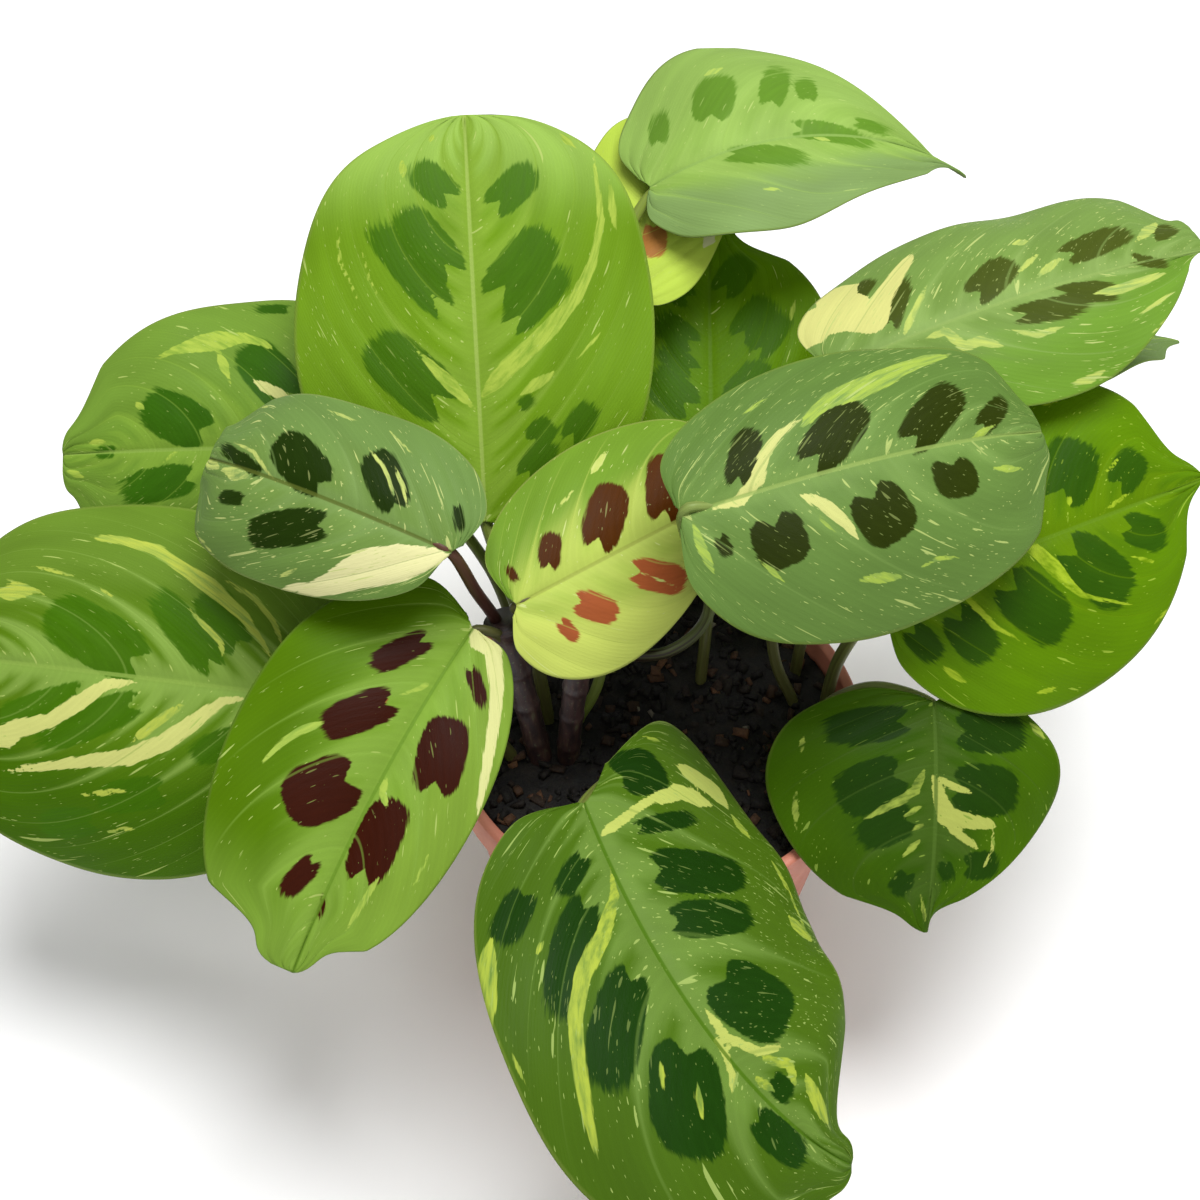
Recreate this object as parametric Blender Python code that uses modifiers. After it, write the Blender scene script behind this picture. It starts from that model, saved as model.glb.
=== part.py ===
"""Potted prayer plant: a plastic nursery pot, its soil, two canes and fifteen leaves.

Metres, +Z up. The origin is the centre of the pot's base, and the front is -Y.
Each leaf is one blade with its own petiole. Sizes in the tables are in millimetres.
"""

import math
import random

import bmesh
import bpy
from mathutils import Matrix, Vector
from mathutils.noise import noise

MM = 0.001
GAP = 0.35

POT_HEIGHT = 104.0
RIM_RADIUS = 60.0
BAND_HEIGHT = 12.0
BAND_PROUD = 1.8
BASE_RADIUS = 43.0
POT_WALL = 1.6
POT_FLOOR = 2.0
POT_STEPS = 40
POT_ROUNDING = 0.8
FLOOR_CORNER = 2.0
DRAIN_HOLES = 6
DRAIN_RADIUS = 4.0
DRAIN_CIRCLE = 28.0

SOIL_LEVEL = 98.0
SOIL_RELIEF = 1.4
COARSE_LUMPS = 9.0
FINE_LUMPS = 4.0
SOIL_RINGS = 9
SOIL_SECTORS = 36
STEM_DEPTH = 9.0

BLADE_THICKNESS = 0.8
BLADE_ROWS = 15
BLADE_COLUMNS = 4
MIDRIB_STEPS = 40
RIB_LENGTH = 0.3
RIB_DROP = 0.8
RIB_TIP_RADIUS = 0.7
TUBE_SPACING = 9.0

# How every blade is drawn: its margins sweep this share of a half turn, which leaves the notch
# at the base, and its lobes round off towards the notch; it narrows near the tip and is drawn out
# to a point; its veins leave the midrib at the root power and curve forward at the sweep power;
# and it waves near the margin.
MARGIN_SWEEP = 0.94
LOBE_ROUNDING = 0.6
LOBE_REACH = 0.035
NARROW_FROM = 0.82
POINT_FROM = 0.86
VEIN_ROOT_POWER = 1.2
VEIN_SWEEP_POWER = 1.3
WAVES = 3
WAVE_OFFSET = 1.3

# A leaf's blade, as it would lie flat and then as it is bent. Angles are in degrees and lengths in
# millimetres. A pair gives the left side and the right side, seen from above with the tip ahead.
# lobes, tip and eggs are shares of the length. blunt is how blunt a side is at the base, full how
# blunt it is at the tip, and narrow how much it draws in just before the tip.
USUAL_BLADE = {
    "roll": 0,
    "arch": 30,
    "late": 1.0,
    "sway": 0,
    "fold": 5,
    "cup": 40,
    "lobes": (0.05, 0.05),
    "skew": 0.0,
    "blunt": (0.9, 0.9),
    "full": (0.9, 0.9),
    "narrow": (0.35, 0.35),
    "eggs": (0.0, 0.0),
    "tip": 0.06,
    "wave": 1.5,
    "petiole": 1.7,
}

# route: the petiole's points from its foot up to the blade's base, which is its last point.
LEAVES = {
    "leaf_a": {
        "route": ((-31, 5, 98), (-35, 12, 122), (-48, 36, 150)),
        "heading": 94, "rise": 46, "length": 116, "width": 102,
        "arch": 16, "fold": 6, "cup": 18, "lobes": (0.06, 0.06), "blunt": (0.8, 0.8),
        "full": (0.7, 0.5), "eggs": (0.0, 0.08), "tip": 0.03, "narrow": (0.0, 0.0),
        "petiole": 2.0,
    },
    "leaf_b": {
        "route": ((-38, 22, 98), (-48, 38, 128), (-77, 67, 148)),
        "heading": -170, "rise": 11, "length": 97, "width": 90,
        "roll": -38, "fold": 6, "skew": 0.08, "full": (0.5, 0.9), "eggs": (0.0, -0.15),
        "tip": 0.02, "wave": 2.5,
    },
    "leaf_c": {
        "route": ((-43.6, 5.7, 141), (-45.5, 4, 149), (-49, 2, 160), (-54, -2, 180)),
        "heading": 162, "rise": 16, "length": 79, "width": 59,
        "roll": -30, "arch": 50, "late": 1.5, "cup": 45, "skew": 0.06, "lobes": (0.0, 0.08),
        "full": (0.5, 0.4), "eggs": (0.25, -0.15), "tip": 0.0, "wave": 1.2,
    },
    "leaf_d": {
        "route": ((-41, -8, 98), (-52, -8, 116), (-70, -8, 127), (-92, -8, 125)),
        "heading": 180, "rise": 12, "length": 122, "width": 114,
        "roll": -35, "cup": 45, "skew": -0.07, "full": (0.8, 0.8), "petiole": 2.0,
    },
    "leaf_e": {
        "route": ((-42.3, 0.7, 141), (-44.5, -1.5, 146.5), (-50, -3, 150)),
        "heading": -120, "rise": -8, "length": 103, "width": 70,
        "roll": -20, "sway": -12, "fold": 14, "cup": 30, "skew": 0.22, "lobes": (0.02, 0.08),
        "full": (0.8, 0.5), "wave": 1.0, "petiole": 1.5,
    },
    "leaf_f": {
        "route": ((-6, -22, 98), (-9, -29, 120), (-20, -50, 136)),
        "heading": -71, "rise": 1, "length": 123, "width": 106,
        "roll": -15, "arch": 45, "late": 1.7, "sway": -66, "fold": 8, "skew": -0.07,
        "lobes": (0.25, 0.02), "blunt": (0.5, 0.9), "full": (0.9, 0.8), "narrow": (0.6, 0.35),
        "eggs": (-0.15, 0.16), "tip": 0.04, "wave": 2.0, "petiole": 2.0,
    },
    "leaf_g": {
        "route": ((44, 2, 98), (50, 0, 114), (61, -5, 127), (75, -14, 132)),
        "heading": -89, "rise": -24, "length": 65, "width": 83,
        "roll": -5, "arch": 40, "cup": 30, "skew": 0.12, "lobes": (0.08, 0.08),
        "full": (2.4, 1.0),
        "eggs": (-0.25, -0.25),
    },
    "leaf_h": {
        "route": ((50, 10, 98), (53, 13, 118), (61, 4, 154)),
        "heading": 17, "rise": 12, "length": 104, "width": 94,
        "roll": 35, "arch": 25, "cup": 30, "skew": -0.03, "full": (0.9, 1.5), "eggs": (0.0, -0.15),
        "petiole": 1.9,
    },
    "leaf_i": {
        "route": ((-21.4, -6.3, 135), (-17, -5, 141), (3, -2, 139), (14, 5, 150), (5, 0, 192)),
        "heading": 14, "rise": 11, "length": 107, "width": 80,
        "roll": 24, "arch": 40, "late": 1.5, "skew": 0.13, "lobes": (0.05, 0.06),
        "full": (0.6, 0.75), "eggs": (0.0, -0.15), "tip": 0.0, "wave": 1.0,
    },
    "leaf_j": {
        "route": ((-38.6, 4.4, 141), (-37.5, 3.2, 149), (-38, -3, 160)),
        "heading": 29, "rise": 9, "length": 83, "width": 64,
        "roll": 30, "arch": 20, "skew": -0.1, "lobes": (0.07, 0.08), "full": (0.7, 2.6),
        "eggs": (0.2, -0.4), "wave": 1.0, "petiole": 1.5,
    },
    "leaf_k": {
        "route": ((-12, 24, 98), (-19, 45, 133), (-15, 88, 184), (-8, 110, 192), (-1, 126, 196)),
        "heading": 13, "rise": 32, "length": 104, "width": 78,
        "roll": 10, "arch": 70, "sway": 20, "fold": 10, "cup": 30, "skew": -0.21,
        "full": (5.0, 2.2), "eggs": (-0.38, -0.3),
    },
    "leaf_l": {
        "route": ((-22, 5, 98), (-15, 13, 116), (-13, 55, 148), (-8, 96, 180)),
        "heading": 78, "rise": 22, "length": 76, "width": 48,
        "arch": 20, "cup": 30, "wave": 1.0, "petiole": 1.6,
    },
    "leaf_m": {
        "route": ((14, 20, 98), (15, 25, 112), (17, 38, 122)),
        "heading": 90, "rise": 38, "length": 115, "width": 84,
        "arch": 20, "cup": 25, "lobes": (0.06, 0.06), "full": (0.8, 0.8),
    },
    "leaf_n": {
        "route": ((41, 11, 98), (34, 20, 116), (36, 42, 150), (49, 62, 184)),
        "heading": 15, "rise": 20, "length": 121, "width": 72,
        "roll": 8, "arch": 35, "sway": -8, "cup": 35, "skew": -0.08, "lobes": (0.08, 0.08),
        "full": (0.35, 3.0), "tip": 0.02,
    },
    "leaf_o": {
        "route": ((42, 22, 98), (46, 30, 116), (68, 72, 138), (93, 111, 138)),
        "heading": 15, "rise": 14, "length": 75, "width": 44,
        "roll": -22, "cup": 35,
    },
}

# A cane's points from the soil up, each with the cane's radius there.
CANES = {
    "cane_1": ((-33, -8, 98, 3.5), (-37, -2.5, 120, 3.6), (-40.5, 2.4, 138, 4.2), (-41.6, 3.7, 145, 6.2)),
    "cane_2": ((-25, -8, 98, 3.3), (-23.5, -7.5, 120, 3.3), (-21.4, -6.3, 140, 3.6)),
}
CARRIED = {"cane_1": ("leaf_c", "leaf_e", "leaf_j"), "cane_2": ("leaf_i",)}

YOUNG_GREEN = (0.16, 0.36, 0.03)
DEEP_GREEN = (0.05, 0.17, 0.02)
SAGE_GREEN = (0.09, 0.20, 0.08)
LIME_GREEN = (0.38, 0.55, 0.06)
LEAF_COLOURS = {
    "leaf_c": SAGE_GREEN,
    "leaf_f": DEEP_GREEN,
    "leaf_g": DEEP_GREEN,
    "leaf_i": SAGE_GREEN,
    "leaf_j": LIME_GREEN,
    "leaf_l": LIME_GREEN,
    "leaf_m": DEEP_GREEN,
    "leaf_n": SAGE_GREEN,
    "leaf_o": SAGE_GREEN,
}
CANE_PURPLE = (0.035, 0.016, 0.020)
SOIL_BLACK = (0.012, 0.008, 0.006)
POT_PINK = (0.72, 0.33, 0.24)


def clear_scene():
    for obj in list(bpy.data.objects):
        bpy.data.objects.remove(obj, do_unlink=True)


def new_collection(name, helper=False):
    collection = bpy.data.collections.new(name)
    bpy.context.scene.collection.children.link(collection)
    collection.hide_render = helper
    return collection


def plain_material(name, colour, roughness):
    material = bpy.data.materials.new(name)
    material.use_nodes = True
    material.diffuse_color = (*colour, 1.0)
    shader = material.node_tree.nodes["Principled BSDF"]
    shader.inputs["Base Color"].default_value = (*colour, 1.0)
    shader.inputs["Roughness"].default_value = roughness
    shader.inputs["Metallic"].default_value = 0.0
    return material


def add_mesh_object(name, bm, collection, material=None):
    mesh = bpy.data.meshes.new(name)
    bm.to_mesh(mesh)
    bm.free()
    obj = bpy.data.objects.new(name, mesh)
    collection.objects.link(obj)
    if material:
        mesh.materials.append(material)
    return obj


def apply_modifiers(obj):
    """Bakes the object's modifiers into its mesh."""
    graph = bpy.context.evaluated_depsgraph_get()
    mesh = bpy.data.meshes.new_from_object(obj.evaluated_get(graph))
    obj.modifiers.clear()
    obj.data = mesh


def combine(obj, other, operation):
    """Applies one exact Boolean with another object, and removes that object."""
    modifier = obj.modifiers.new("Boolean", "BOOLEAN")
    modifier.operation = operation
    modifier.solver = "EXACT"
    modifier.object = other
    apply_modifiers(obj)
    bpy.data.objects.remove(other, do_unlink=True)


def smooth_route(points, spacing):
    """Points and radii along a Catmull-Rom curve through (x, y, z, radius) points."""
    rows = [Vector(point) for point in points]
    rows = [2 * rows[0] - rows[1]] + rows + [2 * rows[-1] - rows[-2]]
    result = []
    for a, b, c, d in zip(rows, rows[1:], rows[2:], rows[3:]):
        steps = max(1, math.ceil((c - b).xyz.length / spacing))
        for step in range(steps):
            u = step / steps
            result.append(
                0.5 * (2 * b + (c - a) * u + (2 * a - 5 * b + 4 * c - d) * u ** 2
                       + (3 * b - a - 3 * c + d) * u ** 3)
            )
    result.append(rows[-2])
    return result


def tube(name, points, collection, extra=0.0, material=None):
    """A closed tube along (x, y, z, radius) points in millimetres, made from a bevelled curve.

    A hole's tube is wider than its stem by extra, and starts further back by as much.
    """
    route = smooth_route(points, TUBE_SPACING)
    start = route[0].xyz - (route[1] - route[0]).xyz.normalized() * extra
    route[0] = Vector((*start, route[0].w))
    curve = bpy.data.curves.new(name, "CURVE")
    curve.dimensions = "3D"
    curve.bevel_depth = MM
    curve.bevel_resolution = 1
    curve.use_fill_caps = True
    spline = curve.splines.new("POLY")
    spline.points.add(len(route) - 1)
    for target, point in zip(spline.points, route):
        target.co = (point.x * MM, point.y * MM, point.z * MM, 1.0)
        target.radius = point.w + extra
    guide = bpy.data.objects.new(name + "_curve", curve)
    collection.objects.link(guide)
    graph = bpy.context.evaluated_depsgraph_get()
    mesh = bpy.data.meshes.new_from_object(guide.evaluated_get(graph))
    obj = bpy.data.objects.new(name, mesh)
    obj.matrix_world = guide.matrix_world
    bpy.data.objects.remove(guide, do_unlink=True)
    bm = bmesh.new()
    bm.from_mesh(mesh)
    bmesh.ops.remove_doubles(bm, verts=bm.verts, dist=0.00001)
    bmesh.ops.recalc_face_normals(bm, faces=bm.faces)
    bm.to_mesh(mesh)
    bm.free()
    mesh.materials.clear()
    if material:
        mesh.materials.append(material)
    collection.objects.link(obj)
    return obj


def midrib_frames(leaf):
    """Point, along, right and up at even steps along the blade's midrib, in millimetres."""
    heading = math.radians(leaf["heading"])
    rise = math.radians(leaf["rise"])
    along = Vector((math.cos(heading) * math.cos(rise), math.sin(heading) * math.cos(rise), math.sin(rise)))
    right = Vector((math.sin(heading), -math.cos(heading), 0.0))
    up = right.cross(along)
    roll = Matrix.Rotation(math.radians(leaf["roll"]), 3, along)
    right = roll @ right
    up = roll @ up
    point = Vector(leaf["route"][-1])
    step_length = leaf["length"] / MIDRIB_STEPS
    frames = [(point.copy(), along.copy(), right.copy(), up.copy())]
    for step in range(MIDRIB_STEPS):
        share = ((step + 1) / MIDRIB_STEPS) ** leaf["late"] - (step / MIDRIB_STEPS) ** leaf["late"]
        bend = Matrix.Rotation(-math.radians(leaf["arch"]) * share, 3, right)
        along = bend @ along
        up = bend @ up
        turn = Matrix.Rotation(-math.radians(leaf["sway"]) * share, 3, up)
        along = turn @ along
        right = turn @ right
        point = point + along * step_length
        frames.append((point.copy(), along.copy(), right.copy(), up.copy()))
    return frames


def margin_point(leaf, t, side):
    """The flat blade's margin at t from 0 at the base to 1 at the tip: across and along."""
    index = 0 if side < 0 else 1
    length = leaf["length"]
    lobe = leaf["lobes"][index] * length
    half = leaf["width"] / 2 * (1 + leaf["skew"] * side)
    blunt = leaf["blunt"][index]
    bluntness = blunt + (leaf["full"][index] - blunt) * t
    start = 1 - LOBE_ROUNDING * math.exp(-(t / LOBE_REACH) ** 2)
    angle = MARGIN_SWEEP * math.pi * (1 - t)
    across = half * start * max(0.0, math.sin(angle)) ** bluntness
    near_tip = max(0.0, (t - NARROW_FROM) / (1 - NARROW_FROM))
    across *= 1 - leaf["narrow"][index] * math.sin(math.pi * near_tip)
    along = (length * (1 - leaf["tip"]) + lobe) / 2 * (1 + math.cos(angle)) - lobe * start
    along += leaf["eggs"][index] * length * math.sin(angle) ** 2 / 2
    along += leaf["tip"] * length * max(0.0, (t - POINT_FROM) / (1 - POINT_FROM)) ** 2
    return side * across, along


def bent_point(leaf, frames, across, along, t, u, side):
    """Lays a flat blade's point on the arched midrib, with the blade's fold, cup and wave."""
    place = along / leaf["length"] * MIDRIB_STEPS
    index = int(min(max(math.floor(place), 0), MIDRIB_STEPS - 1))
    share = place - index
    low = frames[index]
    high = frames[index + 1]
    if share < 0:
        point = low[0] + low[1] * share * leaf["length"] / MIDRIB_STEPS
        right = low[2]
        up = low[3]
    elif share > 1:
        point = high[0] + high[1] * (share - 1) * leaf["length"] / MIDRIB_STEPS
        right = high[2]
        up = high[3]
    else:
        point = low[0].lerp(high[0], share)
        right = low[2].lerp(high[2], share)
        up = low[3].lerp(high[3], share)
    half = leaf["width"] / 2
    fold = math.radians(leaf["fold"])
    cup = math.radians(leaf["cup"])
    radius = half / cup
    turn = cup * abs(across) / half
    sideways = radius * (math.sin(fold) - math.sin(fold - turn))
    lift = radius * (math.cos(fold - turn) - math.cos(fold))
    if 0 < t < 1:
        phase = 2 * math.pi * WAVES * t + (WAVE_OFFSET if side > 0 else 0.0)
        lift += leaf["wave"] * math.sin(phase) * u ** 2 * math.sqrt(math.sin(math.pi * t))
    return point + right * side * sideways + up * lift


def blade_point(leaf, frames, t, u, side):
    """A point of the blade: t picks a side vein, and u goes out along it from midrib to margin."""
    across, margin_along = margin_point(leaf, t, side)
    root = leaf["length"] * t ** VEIN_ROOT_POWER
    along = root + (margin_along - root) * u ** VEIN_SWEEP_POWER
    return bent_point(leaf, frames, across * u, along, t, u, side)


def blade_object(name, leaf, frames, collection, material):
    """The blade as an open sheet of triangles, thickened by Solidify."""
    bm = bmesh.new()
    tip = bm.verts.new(frames[-1][0] * MM)
    middle = []
    for row in range(BLADE_ROWS):
        middle.append(bm.verts.new(blade_point(leaf, frames, row / BLADE_ROWS, 0.0, 1) * MM))
    for side in (-1, 1):
        rows = []
        for row in range(BLADE_ROWS):
            line = [middle[row]]
            for column in range(1, BLADE_COLUMNS + 1):
                point = blade_point(leaf, frames, row / BLADE_ROWS, column / BLADE_COLUMNS, side)
                line.append(bm.verts.new(point * MM))
            rows.append(line)
        for low, high in zip(rows, rows[1:]):
            for column in range(BLADE_COLUMNS):
                corners = (low[column], low[column + 1], high[column + 1], high[column])
                bm.faces.new(corners if side > 0 else corners[::-1])
        for column in range(BLADE_COLUMNS):
            corners = (rows[-1][column], rows[-1][column + 1], tip)
            bm.faces.new(corners if side > 0 else corners[::-1])
    bmesh.ops.triangulate(bm, faces=bm.faces)
    obj = add_mesh_object(name, bm, collection, material)
    solidify = obj.modifiers.new("Solidify", "SOLIDIFY")
    solidify.thickness = BLADE_THICKNESS * MM
    solidify.offset = 0.0
    apply_modifiers(obj)
    return obj


def petiole_points(leaf, frames):
    """The petiole's route with radii, from its foot to its end as the rib under the blade."""
    radius = leaf["petiole"]
    route = leaf["route"]
    points = [(*place, radius) for place in route[:-1]]
    for share in (0.0, RIB_LENGTH / 2, RIB_LENGTH):
        middle, _, _, up = frames[round(share * MIDRIB_STEPS)]
        thin = radius + (RIB_TIP_RADIUS - radius) * share / RIB_LENGTH
        points.append((*(middle - up * RIB_DROP), thin))
    return points


def rooted(points):
    """The same route with its foot carried down under the surface that it stands in."""
    x, y, z, radius = points[0]
    return [(x, y, z - STEM_DEPTH, radius), *points]


def inner_radius(height):
    """The pot's inside radius at a height above the surface that it stands on."""
    outer = BASE_RADIUS + (RIM_RADIUS - BAND_PROUD - BASE_RADIUS) * height / POT_HEIGHT
    return outer - POT_WALL


def pot(collection):
    mouth = inner_radius(POT_HEIGHT)
    band_bottom = POT_HEIGHT - BAND_HEIGHT
    corner = POT_FLOOR + FLOOR_CORNER
    profile = (
        (0.0, POT_FLOOR),
        (inner_radius(POT_FLOOR) - FLOOR_CORNER, POT_FLOOR),
        (inner_radius(corner), corner),
        (mouth, POT_HEIGHT - POT_ROUNDING),
        (mouth + POT_ROUNDING, POT_HEIGHT),
        (RIM_RADIUS - POT_ROUNDING, POT_HEIGHT),
        (RIM_RADIUS, POT_HEIGHT - POT_ROUNDING),
        (RIM_RADIUS - POT_ROUNDING / 2, band_bottom + POT_ROUNDING),
        (RIM_RADIUS - POT_ROUNDING, band_bottom),
        (inner_radius(band_bottom) + POT_WALL, band_bottom),
        (inner_radius(FLOOR_CORNER) + POT_WALL, FLOOR_CORNER),
        (BASE_RADIUS - POT_ROUNDING, 0.0),
        (0.0, 0.0),
    )
    bm = bmesh.new()
    verts = [bm.verts.new((radius * MM, 0.0, height * MM)) for radius, height in profile]
    for low, high in zip(verts, verts[1:]):
        bm.edges.new((low, high))
    obj = add_mesh_object("pot", bm, collection, plain_material("pot_plastic", POT_PINK, 0.45))
    screw = obj.modifiers.new("Screw", "SCREW")
    screw.steps = POT_STEPS
    screw.render_steps = POT_STEPS
    screw.use_merge_vertices = True
    screw.merge_threshold = 0.00001
    apply_modifiers(obj)
    bm = bmesh.new()
    for hole in range(DRAIN_HOLES):
        angle = 2 * math.pi * hole / DRAIN_HOLES
        place = (DRAIN_CIRCLE * MM * math.cos(angle), DRAIN_CIRCLE * MM * math.sin(angle), 0.0)
        bmesh.ops.create_cone(
            bm, cap_ends=True, segments=12, radius1=DRAIN_RADIUS * MM, radius2=DRAIN_RADIUS * MM,
            depth=4 * POT_FLOOR * MM, matrix=Matrix.Translation(place),
        )
    combine(obj, add_mesh_object("drain_cutter", bm, collection), "DIFFERENCE")
    return obj


def soil(collection, stems, cutters):
    """The filling: a plug in the pot with an uneven top and a plain hole for each stem."""
    rng = random.Random(7)
    seed = Vector((rng.uniform(0, 50), rng.uniform(0, 50), 0.0))
    fine_seed = Vector((rng.uniform(0, 50), rng.uniform(0, 50), 0.0))
    bottom_height = POT_FLOOR + FLOOR_CORNER + GAP
    bottom_radius = inner_radius(bottom_height) - 2 * GAP
    top_radius = inner_radius(SOIL_LEVEL) - 2 * GAP
    bm = bmesh.new()

    def ring(radius, height, relief):
        row = []
        for sector in range(SOIL_SECTORS):
            angle = 2 * math.pi * (sector + 0.5) / SOIL_SECTORS
            x = radius * math.cos(angle)
            y = radius * math.sin(angle)
            place = Vector((x, y, 0.0))
            bump = noise(place / COARSE_LUMPS + seed) + 0.6 * noise(place / FINE_LUMPS + fine_seed)
            row.append(bm.verts.new(Vector((x, y, height + bump * relief)) * MM))
        return row

    rings = [ring(bottom_radius, bottom_height, 0.0)]
    for step in range(SOIL_RINGS):
        rings.append(ring(top_radius * (1 - step / SOIL_RINGS), SOIL_LEVEL, SOIL_RELIEF))
    for outer, inner in zip(rings, rings[1:]):
        for sector in range(SOIL_SECTORS):
            after = (sector + 1) % SOIL_SECTORS
            bm.faces.new((outer[sector], outer[after], inner[after], inner[sector]))
    centre = bm.verts.new((0.0, 0.0, SOIL_LEVEL * MM))
    for sector in range(SOIL_SECTORS):
        bm.faces.new((rings[-1][sector], rings[-1][(sector + 1) % SOIL_SECTORS], centre))
    bm.faces.new(rings[0][::-1])
    bmesh.ops.triangulate(bm, faces=bm.faces)
    obj = add_mesh_object("soil", bm, collection, plain_material("potting_soil", SOIL_BLACK, 0.95))
    drill(obj, stems, cutters)
    return obj


def drill(obj, stems, cutters):
    """Cuts a plain hole for each stem."""
    for number, points in enumerate(stems):
        combine(obj, tube(f"hole_{number}", points, cutters, extra=GAP), "DIFFERENCE")


def main():
    clear_scene()
    plant = new_collection("potted_prayer_plant")
    cutters = new_collection("cutters", helper=True)
    pot(plant)

    cane_skin = plain_material("cane_skin", CANE_PURPLE, 0.5)
    canes = {name: rooted(points) for name, points in CANES.items()}
    stems = {}
    for name, changes in LEAVES.items():
        leaf = USUAL_BLADE | changes
        frames = midrib_frames(leaf)
        points = petiole_points(leaf, frames)
        if not any(name in carried for carried in CARRIED.values()):
            points = rooted(points)
        stems[name] = points
        skin = plain_material(name + "_skin", LEAF_COLOURS.get(name, YOUNG_GREEN), 0.4)
        blade = blade_object(name, leaf, frames, plant, skin)
        combine(blade, tube(name + "_petiole", points, cutters), "UNION")

    for name, points in canes.items():
        cane = tube(name, points, plant, material=cane_skin)
        drill(cane, [stems[carried] for carried in CARRIED[name]], cutters)
    carried_names = [name for names in CARRIED.values() for name in names]
    standing = [points for name, points in stems.items() if name not in carried_names]
    soil(plant, [*canes.values(), *standing], cutters)


main()
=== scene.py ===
import math
import random

import bmesh
import bpy
import numpy as np
from mathutils import Matrix, Vector
from mathutils.noise import noise


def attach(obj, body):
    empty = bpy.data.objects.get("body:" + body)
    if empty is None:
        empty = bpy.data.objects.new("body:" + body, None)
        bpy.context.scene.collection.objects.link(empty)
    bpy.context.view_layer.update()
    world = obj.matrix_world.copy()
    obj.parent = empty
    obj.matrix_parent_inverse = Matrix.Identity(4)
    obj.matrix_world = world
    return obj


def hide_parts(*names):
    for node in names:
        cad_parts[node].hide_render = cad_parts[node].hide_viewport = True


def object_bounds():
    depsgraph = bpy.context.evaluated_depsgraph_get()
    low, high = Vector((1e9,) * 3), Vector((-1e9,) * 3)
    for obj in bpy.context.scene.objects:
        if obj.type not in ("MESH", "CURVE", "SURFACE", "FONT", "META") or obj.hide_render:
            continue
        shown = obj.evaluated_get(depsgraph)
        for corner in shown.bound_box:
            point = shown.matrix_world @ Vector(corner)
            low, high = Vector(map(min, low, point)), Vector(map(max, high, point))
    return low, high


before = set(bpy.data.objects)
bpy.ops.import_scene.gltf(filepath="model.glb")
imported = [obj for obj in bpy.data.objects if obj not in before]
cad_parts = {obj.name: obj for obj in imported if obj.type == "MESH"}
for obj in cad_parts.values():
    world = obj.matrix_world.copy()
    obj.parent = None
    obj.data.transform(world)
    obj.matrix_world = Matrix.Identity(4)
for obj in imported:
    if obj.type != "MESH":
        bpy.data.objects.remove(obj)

# The potted prayer plant, dressed. Lengths in the tables are in millimetres and angles in degrees.
MM = 0.001
CAD_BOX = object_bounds()

# The driving dimensions of the solids that the frame holds: the pot, the gap round it, the soil's
# level and how deep the stems stand in it.
POT_HEIGHT = 104.0
RIM_RADIUS = 60.0
BAND_HEIGHT = 12.0
BAND_PROUD = 1.8
BASE_RADIUS = 43.0
POT_WALL = 1.6
POT_FLOOR = 2.0
FLOOR_CORNER = 2.0
DRAIN_HOLES = 6
DRAIN_RADIUS = 4.0
DRAIN_CIRCLE = 28.0
GAP = 0.35
SOIL_LEVEL = 98.0
STEM_DEPTH = 9.0

# How every blade is drawn: its margins sweep this share of a half turn, which leaves the notch
# at the base, and its lobes round off towards the notch; it narrows near the tip and is drawn out
# to a point; its veins leave the midrib at the root power and curve forward at the sweep power;
# and it waves near the margin.
MIDRIB_STEPS = 40
MARGIN_SWEEP = 0.94
LOBE_ROUNDING = 0.6
LOBE_REACH = 0.035
NARROW_FROM = 0.82
POINT_FROM = 0.86
VEIN_ROOT_POWER = 1.2
VEIN_SWEEP_POWER = 1.3
WAVES = 3
WAVE_OFFSET = 1.3

# A leaf's blade, as it would lie flat and then as it is bent. A pair gives the left side and the
# right side, seen from above with the tip ahead. lobes, tip and eggs are shares of the length.
# blunt is how blunt a side is at the base, full how blunt it is at the tip, and narrow how much it
# draws in just before the tip.
USUAL_BLADE = {
    "roll": 0, "arch": 30, "late": 1.0, "sway": 0, "fold": 5, "cup": 40, "lobes": (0.05, 0.05),
    "skew": 0.0, "blunt": (0.9, 0.9), "full": (0.9, 0.9), "narrow": (0.35, 0.35),
    "eggs": (0.0, 0.0), "tip": 0.06, "wave": 1.5, "petiole": 1.7,
}
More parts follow.
